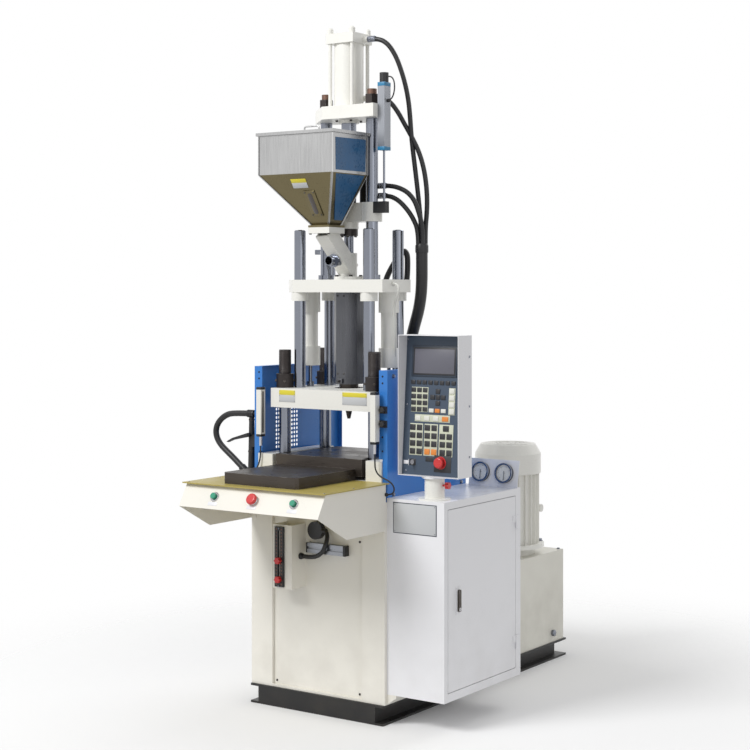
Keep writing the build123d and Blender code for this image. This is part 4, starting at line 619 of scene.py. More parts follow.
class CopyTree:
    """Geometry Nodes tree that sets copies of a piece on points, facing the way each point says."""

    def __init__(self) -> None:
        """Builds the tree once."""
        tree = bpy.data.node_groups.new("CopiesOnPoints", "GeometryNodeTree")
        self.tree = tree
        self.sockets = {
            label: tree.interface.new_socket(label, in_out="INPUT", socket_type=kind).identifier
            for label, kind in (("Points", "NodeSocketGeometry"), ("Copy", "NodeSocketObject"),
                                ("Size", "NodeSocketFloat"), ("Finish", "NodeSocketMaterial"))}
        tree.interface.new_socket("Copies", in_out="OUTPUT", socket_type="NodeSocketGeometry")
        given = tree.nodes.new("NodeGroupInput").outputs
        info = wired(tree, "GeometryNodeObjectInfo", {"Object": given["Copy"]})
        facing = wired(tree, "GeometryNodeInputNamedAttribute", {"Name": "facing"}, data_type="FLOAT_VECTOR")
        align = wired(tree, "FunctionNodeAlignRotationToVector", {"Vector": facing.outputs["Attribute"]},
                      axis="Z")
        place = wired(tree, "GeometryNodeInstanceOnPoints", {
            "Points": given["Points"], "Instance": info.outputs["Geometry"],
            "Rotation": align.outputs["Rotation"], "Scale": given["Size"]})
        real = wired(tree, "GeometryNodeRealizeInstances", {"Geometry": place.outputs["Instances"]})
        paint = wired(tree, "GeometryNodeSetMaterial", {
            "Geometry": real.outputs["Geometry"], "Material": given["Finish"]})
        wired(tree, "NodeGroupOutput", {"Copies": paint.outputs["Geometry"]})

    def spread(self, name: str, copy: bpy.types.Object, spots: Sequence[Spot], finish: Finish, body: str,
               size: float = 1.0) -> bpy.types.Object:
        """Sets copies on spots and bakes them to one plain mesh.

        Args:
            name: The piece's name.
            copy: The piece that is repeated, about the origin with its foot at Z zero.
            spots: Place and facing of each copy.
            finish: Finish of the copies.
            body: The CAD body that carries them.
            size: Scale of each copy.

        Returns:
            The baked piece.
        """
        seeds = bpy.data.meshes.new(name + "_spots")
        seeds.from_pydata([tuple(place) for place, _ in spots], [], [])
        facing = seeds.attributes.new("facing", "FLOAT_VECTOR", "POINT")
        for i, (_, direction) in enumerate(spots):
            facing.data[i].vector = Vector(direction).normalized()
        made = bpy.data.objects.new(name, seeds)
        bpy.context.scene.collection.objects.link(made)
        modifier = made.modifiers.new("Copies", "NODES")
        modifier.node_group = self.tree
        modifier[self.sockets["Copy"]] = copy
        modifier[self.sockets["Size"]] = size
        modifier[self.sockets["Finish"]] = finish.material()
        graph = bpy.context.evaluated_depsgraph_get()
        baked = bpy.data.meshes.new_from_object(made.evaluated_get(graph))
        made.modifiers.clear()
        made.data = baked
        return settle(made, finish, body)


class Head(Enum):
    """Kinds of fastener heads."""
    SOCKET = "socket"
    HEX = "hex"
    PAN = "pan"


SOCKET_PROFILE = ((0, 0), (0.5, 0), (0.5, 0.52), (0.45, 0.58), (0.27, 0.58), (0.27, 0.26), (0, 0.26))
PAN_PROFILE = ((0, 0), (0.5, 0), (0.5, 0.1), (0.42, 0.24), (0.22, 0.32), (0.12, 0.32), (0.09, 0.2), (0, 0.2))


def hexagon(radius: float) -> list[tuple[float, float]]:
    """Corner points of a hexagon."""
    return [(radius * math.cos(i * math.pi / 3), radius * math.sin(i * math.pi / 3)) for i in range(6)]


def grid_spots(xs: Sequence[float], ys: Sequence[float], zs: Sequence[float], facing: Point) -> list[Spot]:
    """Spots at every crossing of the given places in millimetres, all facing one way."""
    return [(mm(x, y, z), facing) for x in xs for y in ys for z in zs]


def ring_spots(x: float, y: float, z: float, radius: float, count: int, first: float = 0.0,
               facing: Point = UP) -> list[Spot]:
    """Spots in a level ring.

    Args:
        x, y, z: The ring's middle, in millimetres.
        radius: Its radius.
        count: Number of spots.
        first: Angle of the first one.
        facing: The way that all of them face.

    Returns:
        Place and facing of each spot.
    """
    angles = [first + math.tau * i / count for i in range(count)]
    return [(mm(x + radius * math.cos(a), y + radius * math.sin(a), z), facing) for a in angles]


@dataclass
class Hardware:
    """Fasteners that repeat over the machine, and the tree that sets them."""
    tree: CopyTree = field(default_factory=CopyTree)
    patterns: dict[str, bpy.types.Object] = field(default_factory=dict)

    @staticmethod
    def _head(kind: Head) -> bpy.types.Object:
        """A fastener's head of one metre across, to be scaled, with its foot at Z zero."""
        if kind is Head.HEX:
            head = prism("hex_pattern", hexagon(0.5), 0.06, 0.42, UPRIGHT, 0.03)
            washer = disc("hex_washer", 0.62, 0, 0.07, UPRIGHT, 0.02, 20)
            return joined("hex_pattern_whole", [head, washer])
        if kind is Head.SOCKET:
            return lathe("screw_pattern", SOCKET_PROFILE, UPRIGHT, 18)
        return lathe("pan_pattern", PAN_PROFILE, UPRIGHT, 16)

    def put(self, name: str, kind: Head, spots: Sequence[Spot], finish: Finish, body: str,
            size: float) -> None:
        """Sets one kind of fastener on spots.

        Args:
            name: The piece's name.
            kind: The fastener.
            spots: Place and facing of each one.
            finish: Their finish.
            body: The CAD body that carries them.
            size: Width across the head, in millimetres.
        """
        if kind.value not in self.patterns:
            self.patterns[kind.value] = self._head(kind)
        self.tree.spread(name, self.patterns[kind.value], spots, finish, body, size * MM)

    def repeat(self, name: str, copy: bpy.types.Object, spots: Sequence[Spot], finish: Finish,
               body: str) -> None:
        """Sets copies of a pattern that is made for one place.

        Args:
            name: The piece's name.
            copy: The pattern, removed with the others at the end.
            spots: Place and facing of each copy.
            finish: Their finish.
            body: The CAD body that carries them.
        """
        self.patterns[name] = copy
        self.tree.spread(name, copy, spots, finish, body)

    def clear(self) -> None:
        """Removes the pattern pieces once every copy is baked."""
        for pattern in self.patterns.values():
            bpy.data.objects.remove(pattern)
        self.patterns.clear()


@dataclass
class Hose:
    """A flexible line along given points, in metres."""
    name: str
    points: Sequence[Point]
    radius: float

    order: int = 3
    steps: int = 10
    facets: int = 5

    def _swept(self, thickness: float) -> bmesh.types.BMesh:
        """The smooth centre line swept to a tube with closed ends, or bare where it has no thickness.

        Args:
            thickness: The tube's radius.

        Returns:
            The mesh of the tube or line.
        """
        data = bpy.data.curves.new(self.name + "_line", "CURVE")
        data.dimensions, data.resolution_u = "3D", self.steps
        data.bevel_depth, data.bevel_resolution, data.use_fill_caps = thickness, self.facets, True
        line = data.splines.new("NURBS")
        line.points.add(len(self.points) - 1)
        for spot, place in zip(line.points, self.points):
            spot.co = (*place, 1.0)
        line.order_u, line.use_endpoint_u = self.order, True
        curve = bpy.data.objects.new(self.name + "_line", data)
        bpy.context.scene.collection.objects.link(curve)
        graph = bpy.context.evaluated_depsgraph_get()
        mesh = bpy.data.meshes.new_from_object(curve.evaluated_get(graph))
        bpy.data.objects.remove(curve)
        shape = bmesh.new()
        shape.from_mesh(mesh)
        bpy.data.meshes.remove(mesh)
        return shape

    def path(self) -> list[Vector]:
        """Points along the smooth centre line."""
        bare = self._swept(0.0)
        places = [v.co.copy() for v in bare.verts]
        bare.free()
        return places

    def tube(self) -> bpy.types.Object:
        """The hose as a linked mesh tube at the origin."""
        return smooth_by_angle(mesh_object(self.name, self._swept(self.radius)), 60)

    def declare(self, made: bpy.types.Object) -> None:
        """Args:
            made: The tube; not used.
        """
        path = self.path()


def metres(points: Sequence[Point]) -> list[Point]:
    """Millimetre points in metres."""
    return [(x * MM, y * MM, z * MM) for x, y, z in points]


@dataclass
class HoseSet:
    """Hydraulic hoses, their gathered sleeve and the lubricator's hose."""
    hose_radius: float = 9 * MM
    sleeve_radius: float = 22 * MM
    lube_radius: float = 11.5 * MM
    grip_share: float = 1.28
    crimps: int = 4
    crimp_first: float = 3 * MM
    crimp_pitch: float = 7.5 * MM
    ferrule_length: float = 34 * MM
    upper: Sequence[Point] = ((80, 12, 2478), (124, 12, 2478), (163, 19, 2457), (192, 28, 2412),
                              (211, 37, 2357), (225, 45, 2301), (233, 53, 2244), (234, 62, 2184),
                              (232, 72, 2124), (233, 82, 2062), (236, 92, 1998), (239, 102, 1930),
                              (241, 113, 1860), (242.5, 123.5, 1786), (242.5, 123.5, 1712))
    lower: Sequence[Point] = ((76, 40, 2262), (120, 40, 2262), (157, 47, 2243), (184, 56, 2205),
                              (207, 65, 2160), (233, 74, 2112), (257, 84, 2060), (272, 93, 2004),
                              (279, 101, 1944), (279, 109, 1884), (272, 117, 1826), (261.5, 123.5, 1774),
                              (261.5, 123.5, 1712))
    drive_high: Sequence[Point] = ((112, 38, 1932), (152, 38, 1932), (194, 44, 1924), (230, 53, 1905),
                                   (253, 64, 1874), (262, 76, 1834), (265, 91, 1796), (261.5, 104.5, 1756),
                                   (261.5, 104.5, 1712))
    drive_low: Sequence[Point] = ((112, 38, 1895), (152, 38, 1895), (188, 46, 1880), (213, 62, 1851),
                                  (231, 82, 1815), (242.5, 104.5, 1766), (242.5, 104.5, 1712))
    sleeve_high: Sequence[Point] = ((252, 114, 1712), (252, 114, 1650), (249, 119, 1588), (240, 128, 1528),
                                    (221, 141, 1470), (193, 157, 1416), (164, 177, 1364), (144, 200, 1308),
                                    (137, 222, 1244))
    sleeve_low: Sequence[Point] = ((137, 222, 1244), (140, 240, 1174), (149, 253, 1102), (161, 261, 1028),
                                   (173, 266, 950), (180, 269, 872), (180, 269, 790))
    lube: Sequence[Point] = ((-357, -165, 853), (-417, -165, 900), (-453, -166, 926), (-482, -168, 949),
                             (-501, -170, 975), (-507, -171, 1004), (-496, -170, 1036), (-464, -167, 1064),
                             (-422, -165, 1076), (-320, -165, 1076))

    def build(self) -> None:
        """Makes every hose, with its end ferrules."""
        steady, driven = ("seat", "seat"), ("injection", "seat")
        for name, route, ends in (("hose_cylinder_top", self.upper, steady),
                                  ("hose_cylinder_foot", self.lower, steady),
                                  ("hose_drive_high", self.drive_high, driven),
                                  ("hose_drive_low", self.drive_low, driven)):
            points = self._lay(name, route, self.hose_radius, "hydraulic_hoses", ends)
            self._ferrule(name + "_ferrule", points[0], points[1], self.hose_radius, ends[0])
        self._sleeve()
        self._lubricator_hose()

    def _lay(self, name: str, route: Sequence[Point], radius: float, node: str, ends: tuple[str, str]) -> list[Point]:
        """Args:
            name: The hose's name.
            route: Its control points in millimetres.
            radius: Its radius in metres.
            node: The CAD node that it stands for.
            ends: The bodies at its first and its last end; the tube rides on them only where both are the same.

        Returns:
            The control points in metres.
        """
        points = metres(route)
        hose = Hose(name, points, radius)
        first, last = ends
        made = settle(hose.tube(), RUBBER, first if first == last else None, [node])
        if first != last:
            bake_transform(made)
        hose.declare(made)
        return points

    def _ferrule(self, name: str, start: Point, towards: Point, radius: float, body: str,
                 finish: Finish = GROUND_STEEL) -> None:
        """A crimped ferrule at a hose's end.

        Args:
            name: The piece's name.
            start: Where the hose begins.
            towards: The hose's next point.
            radius: The hose's radius.
            body: The body that carries it.
            finish: Its finish.
        """
        at = frame_at(start, Vector(towards) - Vector(start), UP)
        grip = radius * self.grip_share
        profile = [(radius, 0.0), (grip * 0.94, 0.0)]
        for step in range(self.crimps):
            base = self.crimp_first + step * self.crimp_pitch
            profile += [(grip, base), (grip, base + 0.005), (grip * 0.95, base + 0.0055),
                        (grip * 0.95, base + 0.007)]
        profile.append((radius, self.ferrule_length))
        settle(lathe(name, profile, at, 24), finish, body)

    def _sleeve(self) -> None:
        """The gathered sleeve, whose upper length hangs from the seat and lower one stands on the frame."""
        high = self._lay("sleeve_high", self.sleeve_high, self.sleeve_radius, "hose_sleeve",
                         ("seat", "clamp"))
        self._lay("sleeve_low", self.sleeve_low, self.sleeve_radius, "hose_sleeve", ("clamp", "base"))
        collar = lathe("sleeve_collar", [(0.0, -0.002), (0.0235, -0.03), (0.0245, -0.026), (0.0245, -0.004),
                                         (0.021, 0.004), (0.0, 0.004)], frame_at(high[0], UP), 32)
        settle(collar, BLACK_PLASTIC, "seat")

    def _lubricator_hose(self) -> None:
        """The lubricator's loop, held at both ends by the base."""
        points = self._lay("lubricator_loop", self.lube, self.lube_radius, "lubricator_hose",
                           ("base", "base"))
        for end, place, towards in (("low", points[0], points[1]), ("high", points[-1], points[-2])):
            self._ferrule("lubricator_ferrule_" + end, place, towards, self.lube_radius, "base", RUBBER)


@dataclass
class Studio:
    """Floor, lights and the camera at the photograph's view."""
    camera_at: Point = (3.496, -4.877, 1.540)
    azimuth: float = 34.7
    lens: float = 76.8
    shift_up: float = -0.112
    floor_size: float = 6.0
    floor_middle: Point = (0.1, 0.4, 0.0)
    floor_near: float = 0.7
    floor_far: float = 2.4
    floor_color: Color = (0.9, 0.9, 0.9, 1)
    world_light: float = 0.45
    aim: Point = (0.1, 0.2, 1.2)

    def build(self) -> None:
        """Makes floor, world, lights and camera."""
        self._floor()
        self._world()
        self._lamp("KeyLight", (-1.7, -4.9, 5.6), 2.6, 330.0)
        self._lamp("FillLight", (5.0, -2.4, 2.8), 3.6, 26.0)
        self._lamp("BackLight", (1.0, 4.5, 4.6), 3.0, 95.0)
        data = bpy.data.cameras.new("PhotoCamera")
        data.lens = self.lens
        data.shift_y = self.shift_up
        camera = bpy.data.objects.new("PhotoCamera", data)
        camera.location = self.camera_at
        camera.rotation_euler = (math.radians(90), 0, math.radians(self.azimuth))
        bpy.context.scene.collection.objects.link(camera)
        bpy.context.scene.camera = camera
        bpy.context.scene.view_settings.view_transform = "Standard"

    def _floor(self) -> None:
        """A pale floor round the machine that fades out into the white background."""
        half = self.floor_size / 2
        mesh = bpy.data.meshes.new("StudioFloor")
        mesh.from_pydata([(-half, -half, 0), (half, -half, 0), (half, half, 0), (-half, half, 0)], [],
                         [(0, 1, 2, 3)])
        floor = bpy.data.objects.new("StudioFloor", mesh)
        bpy.context.scene.collection.objects.link(floor)
        made = bpy.data.materials.new("PaleFloor")
        made.use_nodes = True
        tree = made.node_tree
        place = wired(tree, "ShaderNodeTexCoord", {})
        away = wired(tree, "ShaderNodeVectorMath", {0: place.outputs["Object"], 1: self.floor_middle},
                     operation="DISTANCE")
        fade = wired(tree, "ShaderNodeMapRange", {
            "Value": away.outputs["Value"], "From Min": self.floor_near, "From Max": self.floor_far,
            "To Min": 1.0, "To Max": 0.0}, interpolation_type="SMOOTHSTEP")
        feed(tree.nodes["Principled BSDF"], {
            "Base Color": self.floor_color, "Roughness": 0.9, "Alpha": fade.outputs["Result"]})
        mesh.materials.append(made)

    def _world(self) -> None:
        """White to the camera and in reflections, soft grey as a light."""
        world = bpy.data.worlds.new("SoftWorld")
        bpy.context.scene.world = world
        world.use_nodes = True
        tree = world.node_tree
        rays = wired(tree, "ShaderNodeLightPath", {})
        seen = rays.outputs["Is Camera Ray"]
        for kind in ("Is Glossy Ray", "Is Transmission Ray"):
            either = wired(tree, "ShaderNodeMath", {0: seen, 1: rays.outputs[kind]}, operation="MAXIMUM")
            seen = either.outputs[0]
        strength = wired(tree, "ShaderNodeMapRange", {"Value": seen, "To Min": self.world_light,
                                                      "To Max": 1.0})
        feed(tree.nodes["Background"], {"Color": (1, 1, 1, 1), "Strength": strength.outputs["Result"]})

    def _lamp(self, name: str, place: Point, size: float, watts: float) -> None:
        """A square soft light aimed at the machine.

        Args:
            name: The lamp's name.
            place: Where it stands.
            size: Its side length.
            watts: Its power.
        """
        data = bpy.data.lights.new(name, "AREA")
        data.size = size
        data.energy = watts
        lamp = bpy.data.objects.new(name, data)
        lamp.location = place
        lamp.rotation_euler = (Vector(self.aim) - Vector(place)).to_track_quat("-Z", "Y").to_euler()
        bpy.context.scene.collection.objects.link(lamp)


def paint_faces(node: str, finish: Finish, inside: Callable[[float, float, float], bool]) -> None:
    """Gives some faces of a CAD node a second finish, as where two materials are one casting or file.

    Args:
        node: The node's name.
        finish: The second finish.
        inside: Says, for a face's centre in millimetres, whether the face takes it.
    """
    target = NODES[node]
    target.data.materials.append(finish.material())
    index = len(target.data.materials) - 1
    for face in target.data.polygons:
        centre = target.matrix_world @ face.center / MM
        if inside(*centre):
            face.material_index = index
    LOG.info("painted part of %s in %s", node, finish.name)


def cable(name: str, route: Sequence[Point], radius: float, finish: Finish, body: str) -> None:
    """A cable or conduit that leaves the machine and goes back into it.

    Args:
        name: The cable's name.
        route: Control points in millimetres.
        radius: Its radius in millimetres.
        finish: Its finish.
        body: The body that carries both ends.
    """
    hose = Hose(name, metres(route), radius * MM)
    hose.declare(settle(hose.tube(), finish, body))


def gland(name: str, place: Point, towards: Point, radius: float, length: float, body: str,
          finish: Finish = BLACK_PLASTIC) -> None:
    """A strain relief where a cable goes into the machine.

    Args:
        name: The gland's name.
        place: Its foot, in millimetres.
        towards: The direction that the cable leaves in.
        radius: The cable's radius in millimetres.
        length: How far the gland stands out, in millimetres.
        body: The body that carries it.
        finish: Its finish.
    """
    across = UP if abs(towards[2]) < 0.9 else RIGHT
    at = frame_at(Vector(place) * MM, towards, across)
    hole, nut, tip, tall = radius * MM, (radius + 4) * MM, (radius + 1.2) * MM, length * MM
    settle(lathe(name, [(hole, 0), (nut, 0), (nut, tall * 0.45), (nut * 0.9, tall * 0.5),
                        (nut * 0.86, tall * 0.75), (tip, tall), (hole, tall)], at, 20), finish, body)


def plain_plate(name: str, x: tuple[float, float], z: tuple[float, float], y: float, thick: float, body: str,
                finish: Finish, hardware: Hardware, rivet: float = 5.0) -> None:
    """A blank plate on a face that looks to the front, with a rivet in each corner.

    Args:
        name: The plate's name.
        x, z: Its extents in millimetres.
        y: The face it lies on.
        thick: Its thickness.
        body: The body that carries it.
        finish: Its finish.
        hardware: Source of the rivets.
        rivet: Diameter of the rivets.
    """
    fitted(name, (x[0], y - thick, z[0]), (x[1], y, z[1]), 0.4, finish, body)
    inset = rivet * 1.1
    spots = grid_spots((x[0] + inset, x[1] - inset), (y - thick,), (z[0] + inset, z[1] - inset), FRONT)
    hardware.put(name + "_rivets", Head.PAN, spots, ALUMINIUM, body, rivet)


@dataclass
class ClampDetails:
    """Tie-bar nuts and threads, and the moving platen's plates."""
    hardware: Hardware
    bar_x: float = 204.0
    bar_y: float = 127.0
    bar_radius: float = 22.5
    nut_radius: float = 33.0
    nut_low: float = 1178.0
    nut_high: float = 1230.0
    bar_top: float = 1320.0
    thread_pitch: float = 4.0
    thread_depth: float = 0.7
    post_x: float = 158.0
    post_y: float = 95.0
    post_top: float = 1768.0
    platen_front: float = -180.0

    def build(self) -> None:
        """Makes the details of the clamp."""
        paint_faces("tie_bars", BLACK_OXIDE, lambda x, y, z: z > self.nut_low - 1)
        self._threads()
        self._nut_pins()
        self._post_centres()
        for side, x0, x1, split, top in (("left", -190, -116, 1154, 1172), ("right", 100, 208, 1157, 1173)):
            plain_plate("platen_plate_" + side, (x0, x1), (1128, split), self.platen_front, 1.2, "clamp",
                        PLATE_GREY, self.hardware, 3.0)
            plain_plate("platen_band_" + side, (x0, x1), (split, top), self.platen_front, 1.2, "clamp",
                        PLATE_YELLOW, self.hardware, 3.0)

    @staticmethod
    def corners(x: float, y: float, z: float) -> list[Spot]:
        """Four upward spots about the clamp axis, in metres."""
        return grid_spots((-x, x), (-y, y), (z,), UP)

    def _threads(self) -> None:
        """Screw threads on the tie bars above their nuts."""
        low, high = self.bar_radius + 0.1, self.bar_radius + self.thread_depth
        height = self.bar_top - self.nut_high
        profile = [(self.bar_radius - 2, 0)]
        for turn in range(int(height / self.thread_pitch) - 1):
            base = turn * self.thread_pitch
            profile += [(low, base + 0.2), (high, base + self.thread_pitch * 0.4),
                        (high, base + self.thread_pitch * 0.6)]
        profile += [(low, height - 3.5), (self.bar_radius - 2, height - 3.5)]
        rings = lathe("thread_pattern", [(r * MM, h * MM) for r, h in profile], UPRIGHT, 24)
        spots = self.corners(self.bar_x, self.bar_y, self.nut_high)
        self.hardware.repeat("tie_bar_threads", rings, spots, BLACK_OXIDE, "clamp")

    def _nut_pins(self) -> None:
        """Four spanner holes with grub screws round each nut."""
        middle = (self.nut_low + self.nut_high) / 2
        spots = []
        for centre, _ in self.corners(self.bar_x, self.bar_y, middle):
            for turn in range(4):
                out = Vector((math.cos(turn * math.pi / 2 + 0.6), math.sin(turn * math.pi / 2 + 0.6), 0))
                spots.append((centre + out * (self.nut_radius - 0.6) * MM, out))
        self.hardware.put("tie_nut_grubs", Head.SOCKET, spots, DARK_STEEL, "clamp", 9)

    def _post_centres(self) -> None:
        """Turned centre holes in the guide posts' tops."""
        profile = [(0.0, 0.0002), (0.004, 0.0002), (0.0085, 0.0012), (0.0095, 0.0002), (0.0095, 0)]
        hole = lathe("centre_pattern", profile, UPRIGHT, 20)
        spots = self.corners(self.post_x, self.post_y, self.post_top)
        self.hardware.repeat("post_centres", hole, spots, BLACK_OXIDE, "clamp")


@dataclass
class HopperDetails:
    """Folded corners, film, sight window and plate of the feed hopper."""
    hardware: Hardware
    left: float = -207.0
    right: float = 129.0
    front: float = -283.0
    back: float = -63.0
    foot: float = 1782.0
    fold: float = 1965.0
    top: float = 2108.0
    outlet_x: float = -14.0
    outlet_y: float = -123.0
    outlet_half: float = 40.0
    film_thick: float = 0.6

    def build(self) -> None:
        """Makes the details of the hopper."""
        # The lower slopes take the darker, warm-tinted stainless: painted shade.
        paint_faces("hopper", HOPPER_LOWER_SHADED, lambda x, y, z: z < self.fold)
        self._corner_strips()
        self._film()
        self._window()
        spot, normal, _ = self.slope_front(0.19)
        at = frame_at(spot + mm(-20, 0, 0), normal)
        fitted("hopper_plate", (-34, -19, 0), (34, 3, 1.2), 0.4, PLATE_GREY, "seat", at)
        fitted("hopper_band", (-34, 3, 0), (34, 19, 1.2), 0.4, PLATE_YELLOW, "seat", at)

    def slope_front(self, share: float) -> tuple[Vector, Vector, Vector]:
        """A place on the front slope.

        Args:
            share: How far down the slope it lies, from 0 at the fold to 1 at the foot.

        Returns:
            The place at the outlet's X, the outward normal and the downhill direction.
        """
        upper = Vector((self.outlet_x, self.front, self.fold))
        lower = Vector((self.outlet_x, self.outlet_y - self.outlet_half, self.foot))
        downhill = (lower - upper).normalized()
        normal = downhill.cross(Vector(RIGHT))
        normal = normal if normal.y < 0 else -normal
        return (upper + (lower - upper) * share) * MM, normal, downhill

    def _strip(self, name: str, first: Vector, second: Vector, wide: float, out: Vector,
               finish: Finish) -> None:
        """A thin folded strip between two corner points.

        Args:
            name: The strip's name.
            first, second: Its ends, in millimetres.
            wide: Its width.
            out: The way it stands out from the corner.
            finish: Its finish.
        """
        along = second - first
        at = frame_at(first * MM, along, out)
        half = wide / 2 * MM
        outline = [(0.0009, 0), (-0.0006, half), (-0.0012, half), (-0.0002, 0), (-0.0012, -half),
                   (-0.0006, -half)]
        settle(prism(name, outline, 0, along.length * MM, at, 0), finish, "seat")

    def _corner_strips(self) -> None:
        """Welded corners, upright and down the slopes."""
        for sx, x in ((-1, self.left), (1, self.right)):
            for sy, y in ((-1, self.front), (1, self.back)):
                out = Vector((sx, sy, 0))
                low = Vector((self.outlet_x + sx * self.outlet_half, self.outlet_y + sy * self.outlet_half,
                              self.foot))
                fold, head = Vector((x, y, self.fold)), Vector((x, y, self.top - 2))
                self._strip(f"hopper_corner_{sx}_{sy}", fold, head, 9, out, STAINLESS)
                self._strip(f"hopper_hip_{sx}_{sy}", low, fold, 9, out, STAINLESS)

    def _film(self) -> None:
        """Left-over protective film on the right side, upright and down the slope."""
        at = frame_at(mm(self.right, 0, 0), RIGHT, (0, 1, 0))
        near, far = (self.front + 22) * MM, (self.back - 14) * MM
        upper = [(near, 1.974), (far, 1.976), (far + 0.003, 2.094), (near - 0.002, 2.091)]
        settle(prism("film_upright", upper, 0, self.film_thick * MM, at, 0), FILM_BLUE, "seat")
        head = Vector((self.right, 0, self.fold))
        foot = Vector((self.outlet_x + self.outlet_half, 0, self.foot))
        slope = foot - head
        at = frame_at(head * MM, slope.cross(Vector((0, 1, 0))), (0, 1, 0))
        if at.to_3x3().col[2].x < 0:
            at = frame_at(head * MM, -slope.cross(Vector((0, 1, 0))), (0, 1, 0))
        sign = 1 if at.to_3x3().col[1].dot(slope) > 0 else -1
        reach = slope.length * MM
        middle = self.outlet_y * MM
        lower = [(near + 0.004, sign * 0.004), (far - 0.003, sign * 0.004),
                 (middle + 0.03, sign * reach * 0.9), (middle - 0.02, sign * reach * 0.9)]
        settle(prism("film_slope", lower, 0, self.film_thick * MM, at, 0), FILM_BLUE, "seat")

    def _window(self) -> None:
        """Sight window on the front slope, a framed dark slot with screws."""
        spot, normal, _ = self.slope_front(0.58)
        at = frame_at(spot + mm(8, 0, 0), normal)
        # The window frame takes the lower slopes' darker stainless: painted shade.
        fitted("window_frame", (-25, -54, 0), (25, 54, 2.5), 1, HOPPER_LOWER_SHADED, "seat", at)
        pane = [(0.010 * math.cos(a), (0.034 if math.sin(a) > 0 else -0.034) + 0.010 * math.sin(a))
                for a in (math.tau * (i + 0.5) / 24 for i in range(24))]
        settle(prism("window_pane", pane, 0.0025, 0.0034, at, 0.0003), WINDOW, "seat")
        spots = [(at @ Vector((x, y, 0.0025)), normal) for x in (-0.019, 0.019) for y in (-0.047, 0.047)]
        self.hardware.put("window_screws", Head.PAN, spots, BLACK_OXIDE, "seat", 6)


